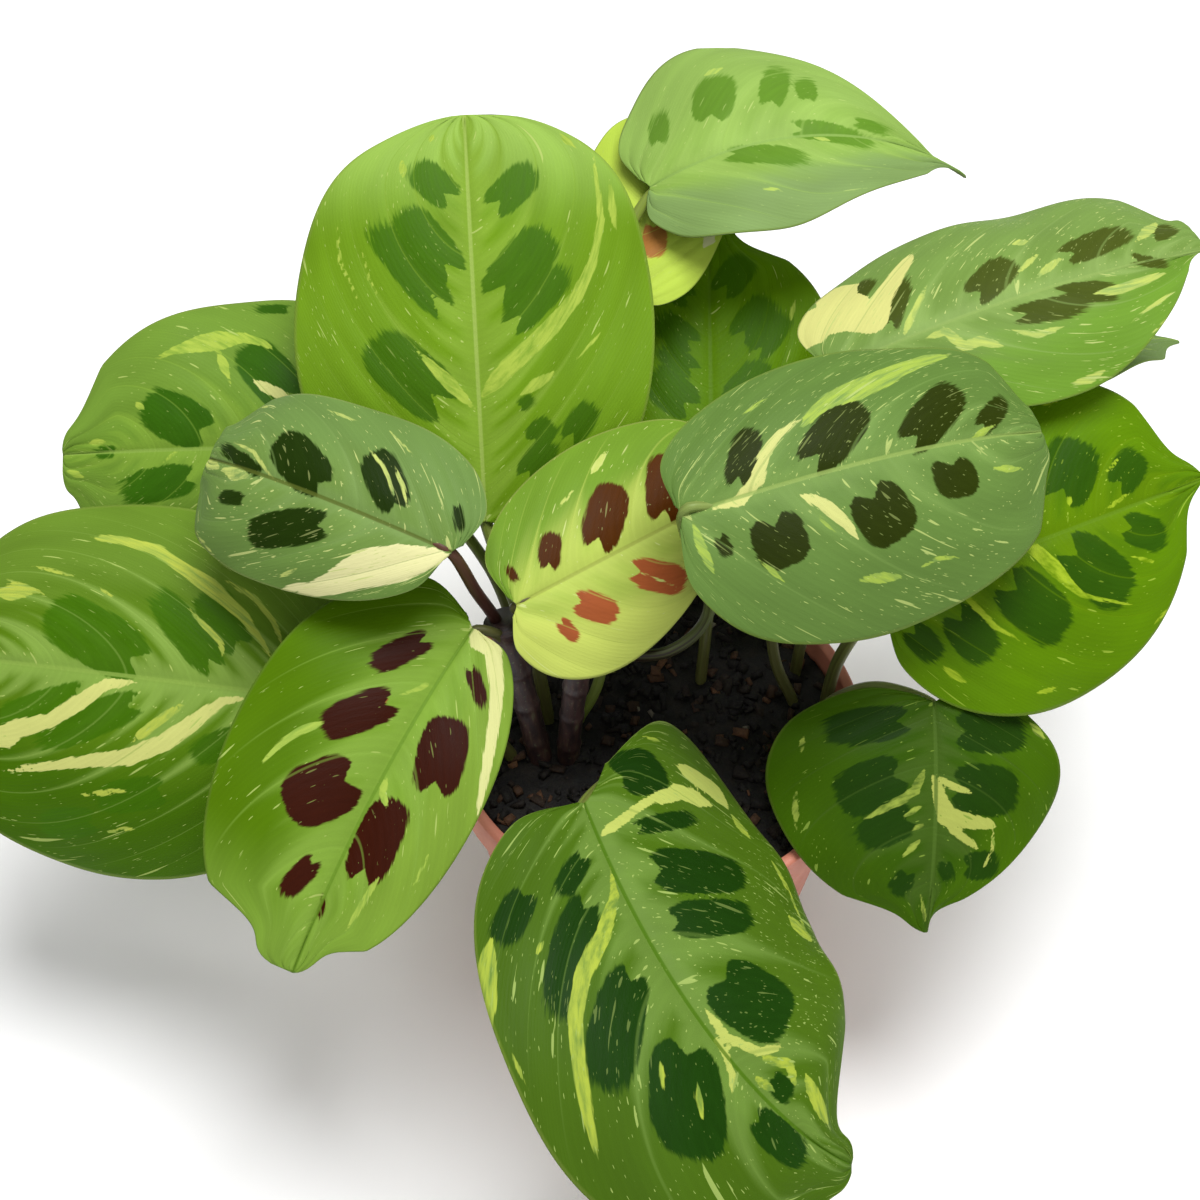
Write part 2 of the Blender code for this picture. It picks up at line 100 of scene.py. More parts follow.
# route: the petiole's points from its foot up to the blade's base, which is its last point.
LEAVES = {
    "leaf_a": {
        "route": ((-31, 5, 98), (-35, 12, 122), (-48, 36, 150)),
        "heading": 94, "rise": 46, "length": 116, "width": 102,
        "arch": 16, "fold": 6, "cup": 18, "lobes": (0.06, 0.06), "blunt": (0.8, 0.8),
        "full": (0.7, 0.5), "eggs": (0.0, 0.08), "tip": 0.03, "narrow": (0.0, 0.0),
        "petiole": 2.0,
    },
    "leaf_b": {
        "route": ((-38, 22, 98), (-48, 38, 128), (-77, 67, 148)),
        "heading": -170, "rise": 11, "length": 97, "width": 90,
        "roll": -38, "fold": 6, "skew": 0.08, "full": (0.5, 0.9), "eggs": (0.0, -0.15),
        "tip": 0.02, "wave": 2.5,
    },
    "leaf_c": {
        "route": ((-43.6, 5.7, 141), (-45.5, 4, 149), (-49, 2, 160), (-54, -2, 180)),
        "heading": 162, "rise": 16, "length": 79, "width": 59,
        "roll": -30, "arch": 50, "late": 1.5, "cup": 45, "skew": 0.06, "lobes": (0.0, 0.08),
        "full": (0.5, 0.4), "eggs": (0.25, -0.15), "tip": 0.0, "wave": 1.2,
    },
    "leaf_d": {
        "route": ((-41, -8, 98), (-52, -8, 116), (-70, -8, 127), (-92, -8, 125)),
        "heading": 180, "rise": 12, "length": 122, "width": 114,
        "roll": -35, "cup": 45, "skew": -0.07, "full": (0.8, 0.8), "petiole": 2.0,
    },
    "leaf_e": {
        "route": ((-42.3, 0.7, 141), (-44.5, -1.5, 146.5), (-50, -3, 150)),
        "heading": -120, "rise": -8, "length": 103, "width": 70,
        "roll": -20, "sway": -12, "fold": 14, "cup": 30, "skew": 0.22, "lobes": (0.02, 0.08),
        "full": (0.8, 0.5), "wave": 1.0, "petiole": 1.5,
    },
    "leaf_f": {
        "route": ((-6, -22, 98), (-9, -29, 120), (-20, -50, 136)),
        "heading": -71, "rise": 1, "length": 123, "width": 106,
        "roll": -15, "arch": 45, "late": 1.7, "sway": -66, "fold": 8, "skew": -0.07,
        "lobes": (0.25, 0.02), "blunt": (0.5, 0.9), "full": (0.9, 0.8), "narrow": (0.6, 0.35),
        "eggs": (-0.15, 0.16), "tip": 0.04, "wave": 2.0, "petiole": 2.0,
    },
    "leaf_g": {
        "route": ((44, 2, 98), (50, 0, 114), (61, -5, 127), (75, -14, 132)),
        "heading": -89, "rise": -24, "length": 65, "width": 83,
        "roll": -5, "arch": 40, "cup": 30, "skew": 0.12, "lobes": (0.08, 0.08),
        "full": (2.4, 1.0), "eggs": (-0.25, -0.25),
    },
    "leaf_h": {
        "route": ((50, 10, 98), (53, 13, 118), (61, 4, 154)),
        "heading": 17, "rise": 12, "length": 104, "width": 94,
        "roll": 35, "arch": 25, "cup": 30, "skew": -0.03, "full": (0.9, 1.5), "eggs": (0.0, -0.15),
        "petiole": 1.9,
    },
    "leaf_i": {
        "route": ((-21.4, -6.3, 135), (-17, -5, 141), (3, -2, 139), (14, 5, 150), (5, 0, 192)),
        "heading": 14, "rise": 11, "length": 107, "width": 80,
        "roll": 24, "arch": 40, "late": 1.5, "skew": 0.13, "lobes": (0.05, 0.06),
        "full": (0.6, 0.75), "eggs": (0.0, -0.15), "tip": 0.0, "wave": 1.0,
    },
    "leaf_j": {
        "route": ((-38.6, 4.4, 141), (-37.5, 3.2, 149), (-38, -3, 160)),
        "heading": 29, "rise": 9, "length": 83, "width": 64,
        "roll": 30, "arch": 20, "skew": -0.1, "lobes": (0.07, 0.08), "full": (0.7, 2.6),
        "eggs": (0.2, -0.4), "wave": 1.0, "petiole": 1.5,
    },
    "leaf_k": {
        "route": ((-12, 24, 98), (-19, 45, 133), (-15, 88, 184), (-8, 110, 192), (-1, 126, 196)),
        "heading": 13, "rise": 32, "length": 104, "width": 78,
        "roll": 10, "arch": 70, "sway": 20, "fold": 10, "cup": 30, "skew": -0.21,
        "full": (5.0, 2.2), "eggs": (-0.38, -0.3),
    },
    "leaf_l": {
        "route": ((-22, 5, 98), (-15, 13, 116), (-13, 55, 148), (-8, 96, 180)),
        "heading": 78, "rise": 22, "length": 76, "width": 48,
        "arch": 20, "cup": 30, "wave": 1.0, "petiole": 1.6,
    },
    "leaf_m": {
        "route": ((14, 20, 98), (15, 25, 112), (17, 38, 122)),
        "heading": 90, "rise": 38, "length": 115, "width": 84,
        "arch": 20, "cup": 25, "lobes": (0.06, 0.06), "full": (0.8, 0.8),
    },
    "leaf_n": {
        "route": ((41, 11, 98), (34, 20, 116), (36, 42, 150), (49, 62, 184)),
        "heading": 15, "rise": 20, "length": 121, "width": 72,
        "roll": 8, "arch": 35, "sway": -8, "cup": 35, "skew": -0.08, "lobes": (0.08, 0.08),
        "full": (0.35, 3.0), "tip": 0.02,
    },
    "leaf_o": {
        "route": ((42, 22, 98), (46, 30, 116), (68, 72, 138), (93, 111, 138)),
        "heading": 15, "rise": 14, "length": 75, "width": 44,
        "roll": -22, "cup": 35,
    },
}
# A cane's points from the soil up, each with the cane's radius there.
CANES = {
    "cane_1": ((-33, -8, 98, 3.5), (-37, -2.5, 120, 3.6), (-40.5, 2.4, 138, 4.2), (-41.6, 3.7, 145, 6.2)),
    "cane_2": ((-25, -8, 98, 3.3), (-23.5, -7.5, 120, 3.3), (-21.4, -6.3, 140, 3.6)),
}
CARRIED = {"cane_1": ("leaf_c", "leaf_e", "leaf_j"), "cane_2": ("leaf_i",)}

# The finer growth of the visible blades: grid, thickness, groove on the midrib and flesh between veins.
BLADE_ROWS = 130
BLADE_COLUMNS = 38
MIDDLE_THICKNESS = 0.55
MARGIN_THICKNESS = 0.32
GROOVE_DEPTH = 0.35
GROOVE_WIDTH = 1.5
QUILT_DEPTH = 0.45
FINE_WAVE = 0.35
FINE_WAVE_LENGTH = 5.2
SWEEP_POWER = 1.6
FINE_VEINS = 9
UNDER_VEINS = 8
# A petiole is a tube that runs on as a rib under the blade: how far along it, and its share of size.
STALK_SIDES = 14
STALK_SPACING = 2.0
RIB_SIZES = ((0.0, 0.92), (0.1, 0.72), (0.3, 0.45), (0.6, 0.28), (0.9, 0.15))
RIB_SINK = 0.5
# A cane is a tube with a low ring at each node, at these lengths from its foot.
CANE_SIDES = 28
CANE_SPACING = 0.8
CANE_RINGS = (16.0, 29.0, 41.0)
RING_WIDTH = 1.1
RING_SWELL = 0.10
# How square a blotch is, how far its inner end is cut and its outer end fades, how a streak ends,
# and how far the edges fray along the veins and both ways.
FAR_OUTSIDE = -9.0
BLOTCH_SQUARE = 3.0
NOTCH_DEPTH = 1.3
FADE = 2.5
STREAK_END = 0.25
STREAK_TAPER = 1.8
BLOTCH_FRAY = (1.3, 1.2)
LIME_FRAY = (0.9, 0.9)
CREAM_FRAY = (1.3, 1.2)
# Dashes of three sizes: how slim, how fine, and their share of a leaf's flecks.
DASHES = ((0.16, 0.40, 1.0), (0.22, 0.66, 0.9), (0.34, 1.0, 0.8))
# The right side of a blade reads its noise this far on, so that the sides differ.
RIGHT_SIDE_ON = 37.0

# The grids of the pot and the soil, and the loose bits on it.
POT_SECTORS = 144
RIM_ROUNDING = 0.9
DRAIN_SIDES = 32
SOIL_SECTORS = 150
SOIL_RINGS = 52
CRUMB_RELIEF = 1.3
CHIPS = 700
CHIP_CORNERS = (
    (-1, -1, -1), (1, -1, -1), (1, 1, -1), (-1, 1, -1), (-1, -1, 1), (1, -1, 1), (1, 1, 1), (-1, 1, 1),
)
CHIP_FACES = ((3, 2, 1, 0), (4, 5, 6, 7), (0, 1, 5, 4), (1, 2, 6, 5), (2, 3, 7, 6), (3, 0, 4, 7))

# The camera stands where the photo was taken from.
CAMERA_PLACE = (-0.0158, -0.3426, 0.5668)
CAMERA_TILT = 40.0
CAMERA_LENS = 60.0
WORLD_STRENGTH = 0.5
LIGHT_TARGET = (0.0, 0.0, 0.12)
# Each light's place, size and power.
LIGHTS = {"key": ((0.15, 0.12, 1.5), 0.9, 24.0), "front": ((0.3, -1.2, 1.1), 1.0, 4.0)}
FLOOR_REACH = 6.0

# The marks of each leaf lie on its flat blade, in millimetres: x across, right being positive seen
# from above with the tip ahead, and y along from the base. The blade's veins leave the midrib at
# shares of its length, left and right, and sweep forward by a share of it on their way out.
# dark: blotches from an inner end to an outer end and their half width: x, y, x, y, half width.
# red: the same, for blotches that are reddish. strength is how much both hide the green.
# notch and soft are how deep their inner end is cut and how their outer end fades.
# lime and cream: streaks as points x, y, half width.
USUAL_MARKS = {
    "sweep": (0.45, 0.45),
    "veins": ((0.0, 0.14, 0.28, 0.42, 0.56, 0.70, 0.84), (0.0, 0.14, 0.28, 0.42, 0.56, 0.70, 0.84)),
    "dark": (), "red": (), "lime": (), "cream": (), "strength": 1.0, "notch": 0.25, "soft": 0.0,
}
MARKS = {
    "leaf_a": {
        "sweep": (0.62, 0.62), "strength": 0.9, "notch": 0.4, "soft": 0.35,
        "veins": ((-0.06, 0.07, 0.175, 0.32, 0.5, 0.64, 0.8), (-0.12, 0.07, 0.18, 0.29, 0.42, 0.6, 0.78)),
        "dark": (
            (-4, 90, -15, 101, 5), (6, 87, 19, 99, 5), (-4, 68, -19, 88, 6), (-7, 58, -27, 84, 5),
            (5, 61, 22, 80, 7), (9, 53, 26, 70, 5), (-8, 31, -29, 52, 8), (11, 31, 15, 34, 2),
            (11, 11, 20, 22, 4), (24, 21, 32, 31, 4), (14, 21, 20, 27, 4), (-6, 14, -14, 20, 3),
        ),
        "lime": (
            (
                (1, 35, 2), (9, 43, 2.6), (21, 53, 2.4), (29, 62, 1.8), (34, 71, 1.3), (37, 83, 1),
                (36, 105, 0.5),
            ),
            ((-1, 31, 0.8), (-8, 39, 2), (-17, 49, 0.7)), ((40, 95, 1), (41, 80, 1.2)),
            ((-37, 88, 0.4), (-37, 75, 0.6), (-31, 61, 0.4)), ((12, 35, 2), (22, 41, 1.2)),
            ((-18, 103, 1.2), (-18, 97, 0.7)), ((27, 109, 1.2), (31, 105, 0.8)),
            ((-10, 108, 0.9), (-9, 110, 0.9)), ((-26, 62, 0.3), (-29, 70, 0.5), (-31, 80, 0.3)),
            ((28, 44, 0.4), (36, 52, 0.4)),
        ),
    },
    "leaf_b": {
        "sweep": (0.5, 0.5), "strength": 0.95, "soft": 0.4,
        "dark": (
            (13, 28, 31, 42, 7), (4, 52, 14, 71, 7), (-8, 56, -12, 78, 5), (0, 80, 0, 86, 2),
            (44, 28, 45, 40, 2), (-6, 36, -14, 48, 5),
        ),
        "lime": (
            (
                (27, 69, 0.4), (30, 62, 1.4), (32, 56, 3), (33, 51, 3.6), (34, 43, 1.8), (32, 37, 1),
                (29, 33, 0.5),
            ),
            ((29, 50, 2.2), (19, 46, 0.6)), ((14, 74, 0.9), (12, 71, 0.9)), ((3, 88, 1.4), (3, 83, 0.8)),
            ((-5, 95, 1.2), (-7, 90, 0.9)), ((0, 61, 0.7), (-4, 66, 0.5)),
        ),
        "cream": (((20, 40, 1.4), (15, 31, 1.7), (10, 26, 0.8)),),
    },
    "leaf_c": {
        "sweep": (0.5, 0.5), "notch": 0.2,
        "veins": ((-0.18, 0.02, 0.27, 0.55, 0.78, 0.92), (-0.05, 0.08, 0.34, 0.66, 0.86, 0.95)),
        "dark": (
            (2, 37, 11, 57, 6), (4, 17, 17, 30, 5), (0, 56, 4, 75, 2), (-8, 58, -9, 67, 2),
            (-6, 32, -16, 54, 5), (12, 4, 6, 0, 1.5),
        ),
        "lime": (
            ((24, 52, 0.4), (24, 38, 0.7)), ((19, 74, 0.3), (19, 69, 0.8)),
            ((6, 71, 0.3), (5, 62, 0.5), (-1, 51, 0.5)), ((17, 32, 0.4), (14, 26, 0.6), (6, 18, 0.4)),
            ((15, 23, 0.4), (11, 19, 0.6), (6, 15, 0.3)), ((-2, 70, 2), (-2, 60, 2)),
            ((-1, 80, 1.6), (-2, 72, 1.6)), ((-24, 41, 0.5), (-20, 36, 0.5)),
            ((-19, 76, 0.3), (-25, 66, 0.6)), ((20, 20, 0.4), (25, 30, 0.5)),
        ),
        "cream": (
            ((-1, 0, 0.8), (-4, 5, 3), (-8, 11, 5), (-13, 19, 5), (-20, 26, 3), (-27, 35, 1.2)),
            ((-22, 31, 1.5), (-30, 43, 0.4)),
        ),
    },
    "leaf_d": {
        "sweep": (0.7, 0.9), "strength": 0.95, "soft": 0.3,
        "veins": ((0.0, 0.14, 0.29, 0.44, 0.6, 0.75), (-0.02, 0.13, 0.3, 0.45, 0.62, 0.78)),
        "dark": (
            (3, 50, 16, 80, 8), (4, 30, 24, 50, 5), (11, 24, 26, 37, 6), (-5, 65, -17, 92, 4),
            (-6, 49, -21, 78, 5), (-12, 20, -20, 34, 4), (-30, 40, -36, 60, 5), (-6, 8, -14, 18, 4),
            (-42, 60, -46, 78, 5),
        ),
        "lime": (
            (
                (39, 74, 1), (39, 65, 1.4), (37, 53, 1.8), (33, 46, 1.7), (28, 36, 2.4), (20, 25, 1.6),
                (9, 15, 0.4),
            ),
            ((30, 32, 0.8), (26, 23, 0.8), (20, 17, 0.8), (13, 13, 0.5)),
            ((21, 41, 0.8), (12, 30, 0.8), (8, 29, 0.4)), ((-5, 37, 1.1), (-13, 46, 1.4), (-18, 51, 1)),
            ((19, 98, 2.2), (20, 86, 2.4)), ((23, 95, 0.9), (20, 82, 0.9)), ((28, 88, 0.6), (26, 74, 0.6)),
            ((24, 68, 0.6), (21, 61, 0.6)), ((-35, 66, 1), (-31, 49, 0.9)),
            ((-46, 60, 0.8), (-42, 46, 0.8)),
        ),
        "cream": (
            ((-1, 50, 0.4), (-3, 60, 1.6), (-8, 66, 2.2), (-15, 75, 2.1), (-18, 84, 2.7), (-23, 91, 4)),
            (
                (-2, 21, 0.4), (-4, 28, 1.3), (-10, 34, 2.2), (-17, 42, 2.5), (-22, 51, 2.5),
                (-24, 60, 1.9), (-31, 90, 0.9),
            ),
        ),
    },
    "leaf_e": {
        "notch": 0.3, "veins": ((-0.3, -0.18, 0.02, 0.36, 0.62, 0.82), (0.0, 0.19, 0.4, 0.66, 0.86, 0.95)),
        "dark": (
            (8, 9, 17, 24, 3.5), (7, 28, 20, 44, 5), (6, 50, 19, 65, 8), (6, 73, 10, 85, 3),
            (0, 81, -1, 87, 1), (-5, 10, -14, 18, 2), (-14, 46, -8, 25, 6.5), (-7, 75, -6, 51, 6),
        ),
        "red": ((20, 40, 11, 31, 1.2),),
        "lime": (
            ((20, 42, 1), (25, 47, 1), (28, 53, 0.8), (30, 59, 0.3)),
            ((-1, 47, 1), (-2, 51, 1), (-5, 54, 0.7)), ((-11, 71, 0.8), (-10, 78, 0.8), (-9, 87, 0.5)),
            ((2, 19, 0.7), (3, 22, 0.7), (7, 27, 0.3)), ((-20, 60, 0.4), (-20, 71, 0.4)),
        ),
        "cream": (
            (
                (1, 0, 0.8), (-4, 2, 3.3), (-8, 3, 2.4), (-14, 11, 2), (-18, 19, 1.6), (-21, 27, 1.5),
                (-24, 36, 1.2), (-27, 46, 0.3),
            ),
        ),
    },
    "leaf_f": {
        "sweep": (0.42, 0.42), "notch": 0.2, "soft": 0.2,
        "veins": ((-0.42, -0.2, -0.02, 0.34, 0.64, 0.82), (-0.05, 0.1, 0.2, 0.42, 0.66, 0.84)),
        "dark": (
            (-11, -6, -26, -9, 8), (-10, 11, -30, 8, 3), (-9, 24, -36, 31, 8), (-7, 40, -31, 46, 6),
            (-11, 58, -20, 82, 10), (-5, 88, -5, 96, 3), (6, 90, 5, 107, 5), (6, 16, 17, 26, 3),
            (10, 28, 32, 51, 5), (8, 48, 31, 66, 6), (7, 68, 25, 86, 9), (24, 22, 36, 32, 4),
        ),
        "lime": (
            (
                (0, 20, 0.4), (3, 29, 1.2), (11, 38, 1.9), (21, 45, 2.1), (28, 52, 1.7), (33, 60, 1.7),
                (37, 67, 1.3), (42, 76, 0.3),
            ),
            ((37, 30, 1.4), (43, 38, 2.6), (47, 46, 1.4)), ((46, 50, 0.7), (46, 60, 0.5)),
            ((-45, 4, 1.6), (-47, 14, 1.8)), ((-46, 49, 3), (-48, 60, 2.4), (-50, 66, 0.9)),
            ((-50, 24, 1.2), (-52, 40, 0.8), (-51, 56, 0.6)),
            ((-12, 96, 1.6), (-9, 103, 2), (-6, 110, 1.7)), ((12, 76, 1.1), (17, 82, 0.8)),
            ((16, 68, 0.7), (20, 73, 0.7)), ((29, 37, 0.9), (26, 35, 0.7)),
            ((-6, 82, 1.2), (-11, 90, 1.4), (-8, 95, 1.2)), ((-2, 85, 1.3), (-3, 91, 1.3)),
            ((-30, -18, 0.9), (-24, -20, 0.6)),
        ),
        "cream": (
            ((-31, -10, 1.8), (-36, -7, 3.4), (-42, -4, 3.6), (-45, 2, 2)),
            ((-19, 4, 1.2), (-28, -1, 2.6), (-38, 2, 3)),
            ((-1, 11, 1.4), (-7, 8, 1.4), (-14, 4, 1.2), (-23, 0, 1.2), (-33, 0, 1)),
            ((-3, 64, 1), (-3, 73, 1.2), (-7, 81, 1.2), (-14, 86, 1)),
            ((-1, 70, 1), (0, 76, 1.1), (3, 81, 1.1), (6, 83, 0.8)),
        ),
    },
    "leaf_g": {
        "sweep": (0.4, 0.4), "strength": 0.9, "soft": 0.4,
        "veins": ((-0.3, -0.1, 0.08, 0.3, 0.55, 0.78), (-0.3, -0.12, 0.06, 0.26, 0.52, 0.76)),
        "dark": (
            (7, 5, 30, 8, 5), (-5, 8, -26, 8, 6), (9, 19, 27, 27, 7), (-4, 23, -23, 25, 7),
            (6, 31, 21, 37, 5), (7, 46, 10, 53, 3), (-3, 43, -4, 49, 2), (-8, 45, -18, 44, 4),
        ),
        "lime": (
            ((3, 18, 0.8), (6, 24, 1.4), (9, 26, 1.2), (14, 29, 1), (20, 32, 0.5)),
            ((9, 31, 0.8), (4, 28, 0.8)), ((7, 35, 0.7), (3, 33, 0.7)), ((9, 42, 0.9), (4, 37, 0.9)),
            ((3, 53, 0.5), (1, 61, 0.6)), ((38, 25, 1), (38, 36, 0.8)), ((37, 14, 0.8), (36, 8, 0.8)),
            ((-28, 5, 1.4), (-32, 10, 1.2)),
        ),
        "cream": (
            ((1, 20, 0.9), (-1, 26, 2), (-3, 31, 2.6), (-8, 32, 2.1), (-14, 33, 1.6), (-17, 34, 0.8)),
            ((-3, 33, 1.6), (-8, 37, 1.1), (-12, 40, 0.8)), ((0, 20, 0.8), (-5, 23, 1), (-11, 25, 0.4)),
            ((-16, 35, 0.6), (-16, 40, 0.4), (-14, 45, 0.5)),
        ),
    },
    "leaf_h": {
        "sweep": (0.42, 0.42), "strength": 0.85, "notch": 0.35, "soft": 0.4,
        "veins": ((0.0, 0.16, 0.32, 0.46, 0.62, 0.78), (0.02, 0.18, 0.36, 0.5, 0.66, 0.82)),
        "dark": (
            (-8, 55, -22, 69, 8), (-6, 73, -13, 85, 5), (3, 52, 23, 65, 8), (6, 32, 26, 44, 8),
            (9, 16, 25, 21, 6), (4, 71, 12, 83, 5), (9, 3, 20, 8, 4), (-6, 30, -22, 44, 7),
        ),
        "lime": (
            ((-2, 37, 0.6), (0, 43, 1.8), (8, 47, 2.4), (13, 49, 1.5), (18, 52, 0.7), (26, 66, 0.4)),
            ((3, 19, 0.5), (10, 22, 1), (17, 25, 0.8), (25, 32, 0.3)), ((22, 8, 0.9), (29, 13, 1.2)),
            ((39, 31, 0.9), (40, 38, 0.9)), ((-20, 56, 0.9), (-12, 52, 0.9)),
            ((-10, 69, 0.4), (-14, 79, 0.7)), ((-1, 66, 0.6), (-4, 78, 0.7)),
            ((-36, 63, 0.7), (-35, 69, 1)), ((-9, 59, 0.9), (-6, 58, 0.9)), ((13, 70, 0.6), (17, 77, 0.7)),
            ((33, 70, 0.5), (30, 78, 0.5)),
        ),
    },
    "leaf_i": {
        "sweep": (0.62, 0.42), "notch": 0.35,
        "veins": ((-0.1, 0.17, 0.42, 0.68, 0.86), (-0.02, 0.26, 0.52, 0.76, 0.9)),
        "dark": (
            (-2, 15, -17, 24, 4), (-2, 34, -16, 54, 6), (-1, 61, -15, 83, 5.5), (-2, 84, -10, 97, 3),
            (8, 7, 14, 8, 2), (7, 21, 21, 22, 7), (7, 47, 22, 52, 8), (4, 72, 15, 72, 6.5),
        ),
        "lime": (
            (
                (-13, 36, 1), (-17, 42, 1.7), (-19, 47, 2.4), (-20, 54, 3.2), (-22, 63, 2.8),
                (-24, 70, 2.3), (-26, 80, 1.7), (-26, 87, 0.8),
            ),
            ((0, 80, 0.8), (-3, 90, 0.9)), ((17, 15, 0.7), (25, 20, 0.7)), ((9, 32, 0.6), (17, 36, 0.6)),
            ((29, 38, 1.3), (31, 51, 1.5)), ((3, 2, 0.9), (10, 2, 1.3), (17, 3, 1)),
            ((30, 56, 0.5), (29, 61, 0.6), (30, 68, 0.4)), ((9, 84, 1), (10, 94, 1.1)),
            ((-21, 22, 0.6), (-25, 32, 0.5)),
        ),
        "cream": (
            ((1, 8, 0.8), (1, 15, 1.6), (-3, 21, 1.7), (-9, 25, 1.6), (-13, 30, 1.1), (-16, 38, 0.4)),
            ((4, 30, 0.8), (8, 35, 1.7), (14, 39, 1.5), (19, 41, 0.8)),
        ),
    },
    "leaf_j": {
        "notch": 0.3, "veins": ((-0.12, 0.02, 0.2, 0.45, 0.7, 0.86), (-0.05, 0.18, 0.42, 0.64, 0.84, 0.95)),
        "dark": ((-5, 3, -10, 3, 1.2), (-4, 12, -13, 18, 3), (-3, 26, -17, 41, 5.5), (-1, 47, -18, 60, 6)),
        "red": ((6, 32, 16, 45, 4.5), (6, 14, 15, 23, 4), (9, 8, 16, 10, 2)),
        "lime": (
            ((-23, 37, 0.9), (-25, 41, 1.2), (-28, 46, 0.6)), ((-18, 23, 0.5), (-21, 30, 0.6)),
            ((8, 34, 0.4), (16, 42, 0.4)),
        ),
    },
    "leaf_k": {
        "sweep": (0.5, 0.5), "strength": 0.75, "soft": 0.6,
        "veins": ((-0.2, -0.03, 0.22, 0.45, 0.66, 0.84), (-0.1, 0.14, 0.4, 0.6, 0.8, 0.92)),
        "dark": (
            (-11, 7, -23, 11, 3), (-11, 23, -28, 29, 6), (-11, 40, -28, 46, 4), (-12, 51, -22, 52, 3),
            (-3, 44, 3, 68, 4), (1, 23, 10, 46, 4), (-5, 63, -3, 74, 2),
        ),
        "lime": (
            ((-30, 26, 1.4), (-31, 31, 1.5)), ((18, 30, 0.7), (19, 36, 0.7)), ((1, 50, 1), (3, 55, 1)),
        ),
    },
    "leaf_l": {
        "red": ((3, 26, 5, 14, 4),), "cream": (((19, 21, 1.5), (21, 27, 2)),),
    },
    "leaf_m": {
        "sweep": (0.6, 0.6), "strength": 0.85, "notch": 0.4, "soft": 0.5,
        "veins": ((0.06, 0.2, 0.35, 0.5, 0.64, 0.8), (0.06, 0.2, 0.35, 0.5, 0.64, 0.8)),
        "dark": (
            (-5, 85, -15, 92, 4), (3, 87, 12, 100, 5), (-4, 70, -16, 80, 4.5), (8, 72, 18, 86, 5),
            (13, 67, 23, 81, 4), (-4, 62, -15, 70, 3.5), (-5, 50, -18, 62, 6), (6, 50, 18, 64, 7),
            (6, 28, 20, 44, 7),
        ),
        "lime": (((24, 79, 0.8), (26, 86, 0.6)),),
    },
    "leaf_n": {
        "strength": 0.9, "notch": 0.35, "soft": 0.2,
        "veins": ((-0.2, 0.0, 0.2, 0.43, 0.67, 0.84), (0.05, 0.26, 0.5, 0.7, 0.86, 0.95)),
        "dark": (
            (-4, 43, -13, 60, 5), (-8, 73, -12, 99, 4.5), (-2, 93, 3, 103, 2.5), (-8, 104, -11, 116, 3),
            (3, 65, 8, 82, 4), (6, 50, 9, 72, 4), (-4, 18, -20, 30, 3), (-20, 13, -26, 22, 3),
        ),
        "lime": (
            ((-14, 34, 0.8), (-7, 27, 1), (-1, 21, 1)), ((-4, 63, 1), (-8, 73, 1.5)),
            ((-7, 58, 0.7), (-12, 68, 1.2)), ((-7, 98, 1.3), (-14, 112, 2)),
            ((7, 75, 0.8), (8, 83, 1.7), (7, 92, 1.5), (6, 100, 0.8)),
            ((10, 48, 0.7), (14, 54, 1), (14, 62, 0.7)),
            ((3, 26, 1), (3, 32, 1.4), (10, 34, 1.6), (10, 39, 1.8), (14, 44, 1)),
            ((30, 56, 0.6), (30, 63, 1.1), (29, 68, 0.5)), ((19, 80, 0.5), (13, 99, 0.7)),
            ((-19, 64, 1.4), (-19, 69, 1.5)), ((24, 84, 0.5), (20, 96, 0.6)),
        ),
        "cream": (
            (
                (-10, -6, 3.8), (-17, 2, 6.2), (-17, 10, 8), (-10, 15, 5), (-16, 21, 3.2), (-24, 30, 2.5),
                (-30, 37, 1.4),
            ),
            ((-21, 4, 6), (-25, 11, 5), (-27, 17, 3.6)),
        ),
    },
    "leaf_o": {},
}


def srgb(*colour):
    """The linear colour of an 8-bit sRGB one."""
    return tuple(c / 255 / 12.92 if c <= 10 else ((c / 255 + 0.055) / 1.055) ** 2.4 for c in colour)


# How each leaf looks, as 8-bit colours that it shows in this studio's light: between the veins, its
# outer part on the left and on the right, the pale bands beside midrib and veins, the part near the
# tip, blotches and reddish ones, streaks, flecks, midrib, rim, lower face, and the petiole from its
# foot up.
# bands: width and reach of the pale tongues on and between the veins, and of the one on the midrib;
# band is how pale they are, flecks and specks how many dashes and dots there are.
USUAL_LOOK = {
    "between": (110, 152, 40), "left": (118, 158, 46), "right": (118, 158, 46),
    "pale": (138, 174, 66), "tip": None, "blotch": (70, 112, 8), "red": (150, 85, 50),
    "lime": (182, 206, 84), "cream": (225, 228, 145), "fleck": (186, 208, 112),
    "midrib": (150, 182, 84), "rim": (150, 176, 80), "under": (150, 172, 112),
    "stalk": (128, 146, 60), "foot": (96, 96, 56),
    "bands": (0.34, 0.62, 0.22, 0.34, 0.10), "band": 0.7, "flecks": 0.5, "specks": 0.5,
}
